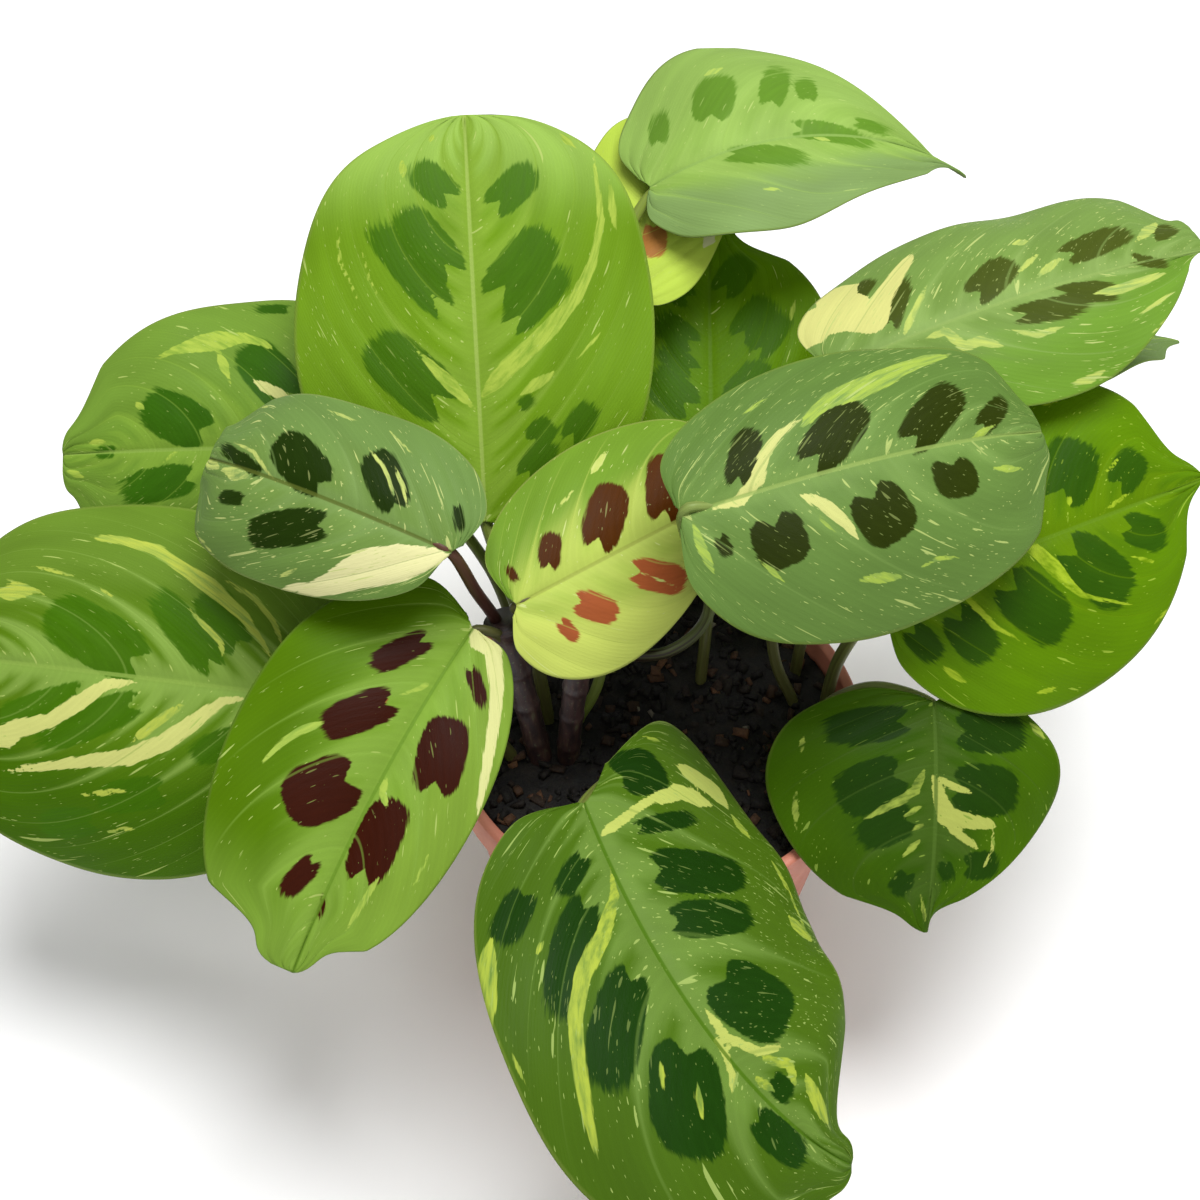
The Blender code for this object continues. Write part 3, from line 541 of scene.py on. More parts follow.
LOOKS = {
    "leaf_a": {
        "between": (116, 156, 36), "left": (118, 158, 40), "right": (118, 158, 40), "tip": (158, 195, 88),
        "pale": (138, 174, 60), "blotch": (66, 108, 5), "midrib": (168, 194, 96), "band": 0.9,
        "flecks": 0.4,
    },
    "leaf_b": {
        "between": (119, 156, 58), "left": (122, 158, 62), "right": (122, 158, 62), "blotch": (56, 100, 7),
    },
    "leaf_c": {
        # Leaf C's sage greens are partly its own glaucous colour and partly a painted grey sheen; its left
        # outer colour is darker as painted shade on its lower side.
        "between": (120, 151, 76), "left": (114, 146, 74), "right": (118, 150, 80), "pale": (130, 160, 90),
        "blotch": (43, 60, 8), "lime": (205, 218, 120), "cream": (243, 240, 176), "fleck": (206, 218, 136),
        "midrib": (96, 108, 48), "rim": (170, 190, 110), "stalk": (104, 72, 56), "foot": (76, 50, 44),
        "bands": (0.22, 0.5, 0.12, 0.3, 0.1), "flecks": 0.8, "specks": 1.0,
    },
    "leaf_d": {
        # Leaf D's left outer colour is darker as painted shade on the side that bends down.
        "between": (98, 136, 34), "left": (78, 118, 8), "right": (112, 146, 52), "pale": (146, 179, 83),
        "blotch": (72, 116, 8), "lime": (198, 212, 88), "cream": (222, 226, 134), "stalk": (150, 170, 74),
        "band": 0.85, "specks": 0.4,
    },
    "leaf_e": {
        "between": (126, 164, 56), "left": (136, 170, 64), "right": (92, 130, 22), "tip": (134, 170, 66),
        "pale": (143, 179, 74), "blotch": (64, 34, 9), "red": (148, 81, 49), "lime": (182, 208, 90),
        "cream": (234, 236, 160), "midrib": (112, 150, 50), "rim": (120, 150, 60), "stalk": (110, 90, 50),
        "bands": (0.4, 0.7, 0.26, 0.45, 0.12), "specks": 0.3,
    },
    "leaf_f": {
        "between": (84, 118, 34), "left": (84, 116, 36), "right": (80, 112, 34), "pale": (118, 150, 68),
        "blotch": (39, 69, 8), "lime": (184, 202, 76), "cream": (200, 212, 108), "fleck": (172, 196, 106),
        "midrib": (80, 120, 24), "bands": (0.36, 0.66, 0.24, 0.4, 0.13), "band": 0.85, "flecks": 0.9,
        "specks": 0.9,
    },
    "leaf_g": {
        # Leaf G's greens are darkened by painted shade from leaf H, which lies over it.
        "between": (64, 98, 16), "left": (76, 112, 22), "right": (70, 104, 24), "pale": (80, 108, 44),
        "blotch": (40, 68, 6), "lime": (168, 188, 80), "cream": (190, 200, 100), "fleck": (140, 168, 70),
        "midrib": (90, 120, 50), "rim": (120, 146, 60), "stalk": (156, 170, 96),
    },
    "leaf_h": {
        "between": (92, 132, 10), "left": (102, 144, 13), "right": (102, 144, 13), "pale": (112, 150, 26),
        "blotch": (46, 82, 4), "lime": (178, 206, 56), "cream": (206, 220, 100), "fleck": (168, 198, 70),
        "midrib": (112, 150, 42), "stalk": (150, 165, 90),
    },
    "leaf_i": {
        # Leaf I's sage greens are partly its own glaucous colour and partly a painted grey sheen.
        "between": (112, 144, 72), "left": (104, 136, 66), "right": (108, 140, 70), "pale": (130, 162, 86),
        "blotch": (52, 62, 16), "lime": (176, 202, 86), "cream": (222, 226, 140), "fleck": (190, 208, 122),
        # Leaf I's petiole foot is dark like the cane it springs from, and partly painted shade where it
        # crosses over the soil.
        "midrib": (154, 180, 96), "stalk": (140, 160, 84), "foot": (46, 36, 34),
        "bands": (0.24, 0.55, 0.12, 0.3, 0.1), "flecks": 0.9, "specks": 1.0,
    },
    "leaf_j": {
        "between": (182, 204, 92), "left": (124, 162, 56), "right": (206, 220, 108),
        "pale": (196, 214, 102), "blotch": (88, 52, 14), "red": (176, 96, 58), "lime": (216, 226, 132),
        "fleck": (214, 226, 142), "midrib": (168, 180, 84), "rim": (190, 200, 110), "stalk": (104, 90, 54),
        "bands": (0.34, 0.6, 0.22, 0.4, 0.12), "flecks": 0.4, "specks": 0.4,
    },
    "leaf_k": {
        # Leaf K's right outer colour is painted shade on the half that folds down, greyer and darker.
        "between": (150, 186, 88), "left": (150, 184, 92), "right": (136, 166, 98), "pale": (160, 194, 98),
        "blotch": (84, 132, 12), "lime": (186, 210, 100), "fleck": (186, 210, 120),
        "midrib": (150, 184, 96), "flecks": 0.3, "specks": 0.3,
    },
    "leaf_l": {
        "between": (196, 222, 86), "left": (192, 220, 84), "right": (196, 222, 88), "pale": (206, 228, 102),
        "red": (190, 130, 70), "cream": (240, 240, 190), "midrib": (190, 214, 90), "stalk": (150, 168, 80),
        "foot": (130, 146, 70), "band": 0.3, "flecks": 0.1, "specks": 0.1,
    },
    "leaf_m": {
        "between": (98, 140, 16), "left": (106, 148, 18), "right": (106, 148, 18), "pale": (100, 140, 26),
        "blotch": (66, 106, 6), "midrib": (104, 142, 40), "flecks": 0.4,
    },
    "leaf_n": {
        "between": (124, 156, 76), "left": (126, 158, 80), "right": (118, 160, 58), "pale": (150, 180, 100),
        "blotch": (70, 78, 30), "lime": (196, 212, 108), "cream": (226, 226, 140), "fleck": (200, 216, 130),
        "midrib": (150, 178, 98), "stalk": (150, 158, 96), "bands": (0.26, 0.5, 0.14, 0.3, 0.1),
        "flecks": 0.8, "specks": 0.8,
    },
    "leaf_o": {
        "between": (122, 150, 86), "left": (124, 152, 88), "right": (124, 152, 88), "pale": (130, 158, 92),
        "band": 0.3, "flecks": 0.3, "specks": 0.3,
    },
}
# How much brighter than its own colour a lit leaf shows in this studio.
LIGHT_LEVEL = 1.5
# What the gloss of a leaf adds to every colour, as linear light, and the least that a colour keeps.
GLOSS_HAZE = 0.010
DARKEST = 0.001
LEAF_GLOSS = 0.05
LEAST_ROUGHNESS = 0.36
ROUGHNESS_SPREAD = 0.22

# The soil's darkest colour is partly its own moist dark and partly painted shade under the leaves.
SOIL_DARK_AND_SHADE = srgb(9, 7, 6)
SOIL_BROWN = srgb(26, 20, 14)
BARK_DARK = srgb(15, 11, 8)
BARK_BRIGHT = srgb(88, 58, 36)
STONE_DARK = srgb(104, 98, 86)
STONE_BRIGHT = srgb(170, 160, 142)
POT_PINK = srgb(196, 128, 106)
POT_SHADE = srgb(176, 106, 86)
CANE_DARK = srgb(36, 25, 27)
CANE_RED = srgb(66, 42, 38)
# The canes' grey-green is partly the bark's own flecks and partly a painted sheen.
CANE_GREY_AND_SHEEN = srgb(84, 90, 66)
FLOOR_WHITE = srgb(247, 247, 247)


def midrib_frames(leaf):
    """Points, directions ahead, to the right and up, at even steps along the midrib."""
    heading = math.radians(leaf["heading"])
    rise = math.radians(leaf["rise"])
    along = Vector((math.cos(heading) * math.cos(rise), math.sin(heading) * math.cos(rise), math.sin(rise)))
    right = Vector((math.sin(heading), -math.cos(heading), 0.0))
    up = right.cross(along)
    roll = Matrix.Rotation(math.radians(leaf["roll"]), 3, along)
    right = roll @ right
    up = roll @ up
    point = Vector(leaf["route"][-1])
    frames = [(point.copy(), along.copy(), right.copy(), up.copy())]
    for step in range(MIDRIB_STEPS):
        share = ((step + 1) / MIDRIB_STEPS) ** leaf["late"] - (step / MIDRIB_STEPS) ** leaf["late"]
        bend = Matrix.Rotation(-math.radians(leaf["arch"]) * share, 3, right)
        along = bend @ along
        up = bend @ up
        turn = Matrix.Rotation(-math.radians(leaf["sway"]) * share, 3, up)
        along = turn @ along
        right = turn @ right
        point = point + along * leaf["length"] / MIDRIB_STEPS
        frames.append((point.copy(), along.copy(), right.copy(), up.copy()))
    return [np.array([tuple(entry[item]) for entry in frames]) for item in range(4)]


def margin(leaf, t, side):
    """The flat margin at each t from base to tip: how far across, and how far along."""
    index = 0 if side < 0 else 1
    length = leaf["length"]
    lobe = leaf["lobes"][index] * length
    half = leaf["width"] / 2 * (1 + leaf["skew"] * side)
    blunt = leaf["blunt"][index]
    bluntness = blunt + (leaf["full"][index] - blunt) * t
    start = 1 - LOBE_ROUNDING * np.exp(-(t / LOBE_REACH) ** 2)
    angle = MARGIN_SWEEP * math.pi * (1 - t)
    across = half * start * np.maximum(0.0, np.sin(angle)) ** bluntness
    near_tip = np.clip((t - NARROW_FROM) / (1 - NARROW_FROM), 0, 1)
    across = across * (1 - leaf["narrow"][index] * np.sin(math.pi * near_tip))
    along = (length * (1 - leaf["tip"]) + lobe) / 2 * (1 + np.cos(angle)) - lobe * start
    along = along + leaf["eggs"][index] * length * np.sin(angle) ** 2 / 2
    along = along + leaf["tip"] * length * np.clip((t - POINT_FROM) / (1 - POINT_FROM), 0, 1) ** 2
    return side * across, along


def bent(leaf, frames, across, along, t, u, side, relief):
    """Lays flat points on the arched midrib, with fold, cup, wave and relief."""
    points, aheads, rights, ups = frames
    place = along / leaf["length"] * MIDRIB_STEPS
    index = np.clip(np.floor(place), 0, MIDRIB_STEPS - 1).astype(int)
    share = place - index
    inside = np.clip(share, 0, 1)[..., None]
    low = points[index] * (1 - inside) + points[index + 1] * inside
    step = leaf["length"] / MIDRIB_STEPS
    low = low + aheads[index] * (np.minimum(share, 0) * step)[..., None]
    low = low + aheads[index + 1] * (np.maximum(share - 1, 0) * step)[..., None]
    right = rights[index] * (1 - inside) + rights[index + 1] * inside
    up = ups[index] * (1 - inside) + ups[index + 1] * inside
    half = leaf["width"] / 2
    fold = math.radians(leaf["fold"])
    cup = math.radians(leaf["cup"])
    radius = half / cup
    turn = cup * np.abs(across) / half
    sideways = radius * (math.sin(fold) - np.sin(fold - turn))
    lift = radius * (np.cos(fold - turn) - math.cos(fold))
    phase = 2 * math.pi * WAVES * t + (WAVE_OFFSET if side > 0 else 0.0)
    lift = lift + leaf["wave"] * np.sin(phase) * u ** 2 * np.sqrt(np.maximum(np.sin(math.pi * t), 0))
    lift = lift + relief
    return low + right * (side * sideways)[..., None] + up * lift[..., None]


def vein_phase(where, veins):
    """A count that is whole on each main vein and runs evenly between two veins."""
    first = veins[1] - veins[0]
    last = veins[-1] - veins[-2]
    phase = np.interp(where, veins, np.arange(len(veins)))
    phase = phase + np.minimum(where - veins[0], 0) / first
    return phase + np.maximum(where - veins[-1], 0) / last


def relief_of(leaf, phase, u, along):
    """How far the blade's flesh swells between veins, sinks at the midrib and ripples."""
    between = np.abs(np.sin(math.pi * phase)) ** 0.7
    swell = QUILT_DEPTH * between * np.clip(u * 5, 0, 1) * np.clip((1 - u) * 3, 0, 1)
    out = u * leaf["width"] / 2
    groove = -GROOVE_DEPTH * np.exp(-(out / GROOVE_WIDTH) ** 2)
    ripple = FINE_WAVE * np.sin(along / FINE_WAVE_LENGTH + 3 * u) * u ** 2
    return swell + groove + ripple


def blotch_field(blotches, across, along, notch, soft):
    """How far inside a blotch each flat point is, in millimetres."""
    field = np.full(across.shape, FAR_OUTSIDE)
    for x0, y0, x1, y1, width in blotches:
        half = math.hypot(x1 - x0, y1 - y0) / 2
        ahead = np.array((x1 - x0, y1 - y0)) / (2 * half)
        x = across - (x0 + x1) / 2
        y = along - (y0 + y1) / 2
        out = (x * ahead[0] + y * ahead[1]) / half
        aside = (y * ahead[0] - x * ahead[1]) / width
        reach = (np.abs(out) ** BLOTCH_SQUARE + np.abs(aside) ** BLOTCH_SQUARE) ** (1 / BLOTCH_SQUARE)
        inside = (1 - reach) * min(half, width)
        cut = (out + 1 - NOTCH_DEPTH * notch * np.maximum(0, 1 - 2 * np.abs(aside))) * half
        inside = np.minimum(inside, cut) / (1 + FADE * soft * np.maximum(out, 0))
        field = np.maximum(field, inside)
    return field


def streak_field(streaks, across, along):
    """How far inside a streak each flat point is, in millimetres."""
    field = np.full(across.shape, FAR_OUTSIDE)
    for streak in streaks:
        count = len(streak) - 1
        for index in range(count):
            x0, y0, w0 = streak[index]
            x1, y1, w1 = streak[index + 1]
            dx = x1 - x0
            dy = y1 - y0
            share = np.clip(((across - x0) * dx + (along - y0) * dy) / (dx * dx + dy * dy), 0, 1)
            distance = np.hypot(across - x0 - share * dx, along - y0 - share * dy)
            from_end = count / 2 - np.abs(index + share - count / 2)
            taper = np.minimum(1, STREAK_END + STREAK_TAPER * from_end)
            field = np.maximum(field, (w0 + (w1 - w0) * share) * taper - distance)
    return field


def blade_side(leaf, marks, frames, side):
    """One half of a blade, as arrays of rows from base to tip and columns from midrib outwards."""
    index = 0 if side < 0 else 1
    t = (np.arange(BLADE_ROWS) / BLADE_ROWS)[:, None]
    u = (np.arange(BLADE_COLUMNS + 1) / BLADE_COLUMNS)[None, :]
    across, margin_along = margin(leaf, t, side)
    root = leaf["length"] * t ** VEIN_ROOT_POWER
    along = root + (margin_along - root) * u ** VEIN_SWEEP_POWER
    across = across * u
    u = np.broadcast_to(u, along.shape)
    t = np.broadcast_to(t, along.shape)
    where = along / leaf["length"] - marks["sweep"][index] * u ** SWEEP_POWER
    phase = vein_phase(where, marks["veins"][index])
    relief = relief_of(leaf, phase, u, along)
    plain = blotch_field(marks["dark"], across, along, marks["notch"], marks["soft"])
    reddish = blotch_field(marks["red"], across, along, marks["notch"], marks["soft"])
    lime = streak_field(marks["lime"], across, along)
    cream = streak_field(marks["cream"], across, along)
    phases = [vein_phase(where, veins) for veins in marks["veins"]]
    return {
        "points": bent(leaf, frames, across, along, t, u, side, relief),
        "flow": np.stack((*phases, side * u), axis=-1),
        "sheet": np.stack((where * leaf["length"], side * u * leaf["width"] / 2, along), axis=-1),
        "marks": np.stack((np.maximum(plain, reddish), lime, cream), axis=-1),
        "tints": np.stack((reddish - plain, across, along / leaf["length"]), axis=-1),
    }


def blade_arrays(leaf, marks, frames):
    """Both halves side by side, left margin to right margin, and the tip as one last point."""
    left = blade_side(leaf, marks, frames, -1)
    right = blade_side(leaf, marks, frames, 1)
    both = {key: np.concatenate((left[key][:, :0:-1], right[key]), axis=1) for key in left}
    tip = {key: value[-1, BLADE_COLUMNS].copy() for key, value in both.items()}
    tip["points"] = frames[0][-1]
    return both, tip


def grid_normals(points):
    """Unit normals of a grid of points."""
    rows = np.gradient(points, axis=0)
    columns = np.gradient(points, axis=1)
    normals = np.cross(columns, rows)
    return normals / np.maximum(np.linalg.norm(normals, axis=-1, keepdims=True), 1e-9)


def blade_mesh(leaf, marks, frames):
    """Vertices, faces, attributes and face kinds of a thin closed blade."""
    both, tip = blade_arrays(leaf, marks, frames)
    rows, columns = both["points"].shape[:2]
    normals = grid_normals(both["points"])
    outwards = np.abs(np.arange(columns) - BLADE_COLUMNS) / BLADE_COLUMNS
    thickness = MIDDLE_THICKNESS + (MARGIN_THICKNESS - MIDDLE_THICKNESS) * outwards
    shift = normals * thickness[None, :, None] / 2
    tip_shift = normals[-1, BLADE_COLUMNS] * MARGIN_THICKNESS / 2
    count = rows * columns
    vertices = []
    for sign in (1, -1):
        vertices.append((both["points"] + sign * shift).reshape(-1, 3))
        vertices.append((tip["points"] + sign * tip_shift)[None, :])
    grid = np.arange(count).reshape(rows, columns)
    upper = np.stack((grid[:-1, :-1], grid[:-1, 1:], grid[1:, 1:], grid[1:, :-1]), axis=-1).reshape(-1, 4)
    lower = upper[:, ::-1] + count + 1
    fan = [(grid[-1, c], grid[-1, c + 1], count) for c in range(columns - 1)]
    rim = np.concatenate((grid[0, ::-1], grid[1:, 0], (count,), grid[::-1, -1][:-1]))
    under = count + 1
    faces = [tuple(face) for face in upper.tolist()]
    faces += fan
    uppers = len(faces)
    faces += [tuple(face) for face in lower.tolist()]
    faces += [(c + under, b + under, a + under) for a, b, c in fan]
    for a, b in zip(rim, np.roll(rim, -1)):
        faces.append((int(a), int(b), int(b) + under, int(a) + under))
    kinds = [0] * uppers + [1] * (len(faces) - uppers)
    data = {}
    for key in ("flow", "sheet", "marks", "tints"):
        sheet = np.concatenate((both[key].reshape(-1, 3), tip[key][None, :]))
        data[key] = np.concatenate((sheet, sheet))
    return np.concatenate(vertices), faces, data, kinds


def smooth_route(points, spacing):
    """Points and radii along a Catmull-Rom curve through (x, y, z, radius) points."""
    rows = [Vector(point) for point in points]
    rows = [2 * rows[0] - rows[1]] + rows + [2 * rows[-1] - rows[-2]]
    result = []
    for a, b, c, d in zip(rows, rows[1:], rows[2:], rows[3:]):
        steps = max(1, math.ceil((c - b).xyz.length / spacing))
        for step in range(steps):
            u = step / steps
            result.append(
                0.5 * (2 * b + (c - a) * u + (2 * a - 5 * b + 4 * c - d) * u ** 2
                       + (3 * b - a - 3 * c + d) * u ** 3)
            )
    result.append(rows[-2])
    return result


def stalk_points(leaf, frames):
    """The petiole's route with radii, carried on as a fine rib under most of the blade."""
    radius = leaf["petiole"]
    points = [(*place, radius) for place in leaf["route"][:-1]]
    for share, size in RIB_SIZES:
        item = round(share * MIDRIB_STEPS)
        middle = Vector(frames[0][item])
        up = Vector(frames[3][item])
        points.append((*(middle - up * (size * radius + RIB_SINK)), size * radius))
    return points


def rooted(points):
    """The stem's points, with its foot down in the soil."""
    x, y, z, radius = points[0]
    return [(x, y, z - STEM_DEPTH, radius), *points]


def closed_rings(rows, sectors):
    """Faces over rings of points, first to last, with a middle point after them for each end."""
    faces = []
    last = (rows - 1) * sectors
    for sector in range(sectors):
        after = (sector + 1) % sectors
        for row in range(rows - 1):
            low = row * sectors
            high = low + sectors
            faces.append((low + sector, low + after, high + after, high + sector))
        faces.append((rows * sectors, after, sector))
        faces.append((rows * sectors + 1, last + sector, last + after))
    return faces


def ring(radius, sectors):
    """Places x, y round a circle."""
    angles = [2 * math.pi * sector / sectors for sector in range(sectors)]
    return [(radius * math.cos(angle), radius * math.sin(angle)) for angle in angles]


def sweep_tube(route, sides, swell=None):
    """A closed tube: its points, faces, shares of its length, turns round it, and its length."""
    centres = [point.xyz for point in route]
    lengths = np.cumsum([0.0] + [(b - a).length for a, b in zip(centres, centres[1:])])
    ahead = (centres[1] - centres[0]).normalized()
    across = ahead.orthogonal().normalized()
    vertices = []
    for index, point in enumerate(route):
        after = centres[min(index + 1, len(centres) - 1)]
        before = centres[max(index - 1, 0)]
        ahead = (after - before).normalized()
        across = (across - ahead * across.dot(ahead)).normalized()
        other = ahead.cross(across)
        radius = point.w * (swell(lengths[index]) if swell else 1.0)
        vertices += [centres[index] + across * x + other * y for x, y in ring(radius, sides)]
    vertices += [centres[0], centres[-1]]
    shares = np.concatenate((np.repeat(lengths, sides), (0.0, lengths[-1]))) / lengths[-1]
    turns = np.concatenate((np.tile(np.arange(sides) / sides, len(route)), (0.0, 0.0)))
    faces = closed_rings(len(route), sides)
    return np.array([tuple(v) for v in vertices]), faces, shares, turns, lengths[-1]


def new_object(name, vertices, faces, attributes, materials, kinds=None):
    """A smooth mesh object in metres from arrays in millimetres, its faces turned outwards."""
    mesh = bpy.data.meshes.new(name)
    mesh.from_pydata((np.asarray(vertices) * MM).tolist(), [], faces)
    for material in materials:
        mesh.materials.append(material)
    if kinds is not None:
        mesh.polygons.foreach_set("material_index", kinds)
    for key, values in attributes.items():
        layer = mesh.attributes.new(key, "FLOAT_VECTOR", "POINT")
        layer.data.foreach_set("vector", np.asarray(values, np.float32).reshape(-1))
    bm = bmesh.new()
    bm.from_mesh(mesh)
    bmesh.ops.recalc_face_normals(bm, faces=bm.faces)
    for face in bm.faces:
        face.smooth = True
    bm.to_mesh(mesh)
    bm.free()
    obj = bpy.data.objects.new(name, mesh)
    bpy.context.scene.collection.objects.link(obj)
    return obj


def shown_look(look):
    """The look with its 8-bit colours turned into the colours that show as them in this light."""
    result = dict(look)
    for key, value in look.items():
        if isinstance(value, tuple) and len(value) == 3:
            result[key] = tuple(max(c - GLOSS_HAZE, DARKEST) / LIGHT_LEVEL for c in srgb(*value))
    return result


def leaf_piece(name):
    """A leaf: its blade, and its petiole from the soil or a cane to the rib under the blade."""
    leaf = USUAL_BLADE | LEAVES[name]
    marks = USUAL_MARKS | MARKS[name]
    look = shown_look(USUAL_LOOK | LOOKS[name]) | {"strength": marks["strength"]}
    frames = midrib_frames(leaf)
    vertices, faces, data, kinds = blade_mesh(leaf, marks, frames)
    points = stalk_points(leaf, frames)
    if not any(name in carried for carried in CARRIED.values()):
        points = rooted(points)
    tube, tube_faces, shares, turns, total = sweep_tube(smooth_route(points, STALK_SPACING), STALK_SIDES)
    start = len(vertices)
    faces += [tuple(corner + start for corner in face) for face in tube_faces]
    kinds += [2] * len(tube_faces)
    extra = np.zeros((len(tube), 3))
    stalk = np.stack((shares, turns, np.full(len(tube), total)), axis=-1)
    for key in data:
        data[key] = np.concatenate((data[key], extra))
    data["stalk"] = np.concatenate((np.zeros((start, 3)), stalk))
    vertices = np.concatenate((vertices, tube))
    vertices = np.clip(vertices, np.array(CAD_BOX[0]) / MM, np.array(CAD_BOX[1]) / MM)
    skins = (LeafSkin(name, look).finish(), under_skin(name, look), stalk_skin(name, look))
    return new_object(name + "_grown", vertices, faces, data, skins, kinds)


class Skin:
    """A node material, and short ways to add to it."""

    def __init__(self, name):
        self.material = bpy.data.materials.new(name)
        self.material.use_nodes = True
        self.tree = self.material.node_tree
        self.shader = self.tree.nodes["Principled BSDF"]

    def put(self, socket, value):
        if isinstance(value, bpy.types.NodeSocket):
            self.tree.links.new(value, socket)
        elif isinstance(value, tuple) and len(value) == 3 and len(socket.default_value) == 4:
            socket.default_value = (*value, 1.0)
        else:
            socket.default_value = value

    def node(self, kind, **settings):
        node = self.tree.nodes.new(kind)
        for key, value in settings.items():
            setattr(node, key, value)
        return node

    def math(self, operation, a, b=None, c=None):
        node = self.node("ShaderNodeMath", operation=operation)
        for socket, value in zip(node.inputs, (a, b, c)):
            if value is not None:
                self.put(socket, value)
        return node.outputs[0]

    def add(self, a, b):
        return self.math("ADD", a, b)

    def times(self, a, b):
        return self.math("MULTIPLY", a, b)

    def most(self, a, b):
        return self.math("MAXIMUM", a, b)

    def attribute(self, name):
        """The three parts of a vector that each point of the mesh carries."""
        node = self.node("ShaderNodeAttribute", attribute_type="GEOMETRY", attribute_name=name)
        parts = self.node("ShaderNodeSeparateXYZ")
        self.put(parts.inputs[0], node.outputs["Vector"])
        return parts.outputs

    def ramp(self, value, low, high):
        """A smooth step from 0 at low to 1 at high."""
        node = self.node("ShaderNodeMapRange", interpolation_type="SMOOTHSTEP")
        self.put(node.inputs["Value"], value)
        backwards = low > high
        node.inputs["From Min"].default_value = min(low, high)
        node.inputs["From Max"].default_value = max(low, high)
        node.inputs["To Min"].default_value = 1.0 if backwards else 0.0
        node.inputs["To Max"].default_value = 0.0 if backwards else 1.0
        return node.outputs[0]

    def vector(self, x, y, z=0.0):
        node = self.node("ShaderNodeCombineXYZ")
        for socket, value in zip(node.inputs, (x, y, z)):
            self.put(socket, value)
        return node.outputs[0]

    def noise(self, vector, scale, detail=2.0, roughness=0.5):
        node = self.node("ShaderNodeTexNoise")
        self.put(node.inputs["Vector"], vector)
        node.inputs["Scale"].default_value = scale
        node.inputs["Detail"].default_value = detail
        node.inputs["Roughness"].default_value = roughness
        return node.outputs[0]

    def mix(self, factor, a, b, blend="MIX"):
        node = self.node("ShaderNodeMix", data_type="RGBA", blend_type=blend, clamp_factor=True)
        self.put(node.inputs[0], factor)
        self.put(node.inputs[6], a)
        self.put(node.inputs[7], b)
        return node.outputs[2]

    def bump(self, height, distance, strength=1.0):
        node = self.node("ShaderNodeBump")
        node.inputs["Distance"].default_value = distance
        node.inputs["Strength"].default_value = strength
        self.put(node.inputs["Height"], height)
        self.put(self.shader.inputs["Normal"], node.outputs[0])

    def shade(self, colour, tone, low, high):
        """Darkens and lightens a colour by a tone from 0 to 1."""
        node = self.node("ShaderNodeMapRange")
        self.put(node.inputs["Value"], tone)
        node.inputs["To Min"].default_value = low
        node.inputs["To Max"].default_value = high
        return self.mix(1.0, colour, self.vector(*[node.outputs[0]] * 3), blend="MULTIPLY")


def near_whole(skin, value):
    """How far a count is from the nearest whole number, 0 to 0.5."""
    part = skin.math("FRACT", skin.add(value, 0.5))
    return skin.math("ABSOLUTE", skin.add(part, -0.5))


def band_edge(skin, u, from_vein, width, reach, ragged):
    """How far inside a tongue on a vein a point is: wide at the midrib, nothing at its reach."""
    width_here = skin.add(width, skin.times(u, -width / reach))
    return skin.add(skin.add(width_here, skin.times(from_vein, -1.0)), skin.times(ragged, 0.08))


def vein_count(skin):
    """The vein phase of this half of the blade, the place across from 0 to 1, and the half."""
    phase_left, phase_right, out = skin.attribute("flow")
    is_right = skin.math("GREATER_THAN", out, 0.0)
    apart = skin.add(phase_right, skin.times(phase_left, -1.0))
    return skin.add(phase_left, skin.times(is_right, apart)), skin.math("ABSOLUTE", out), is_right


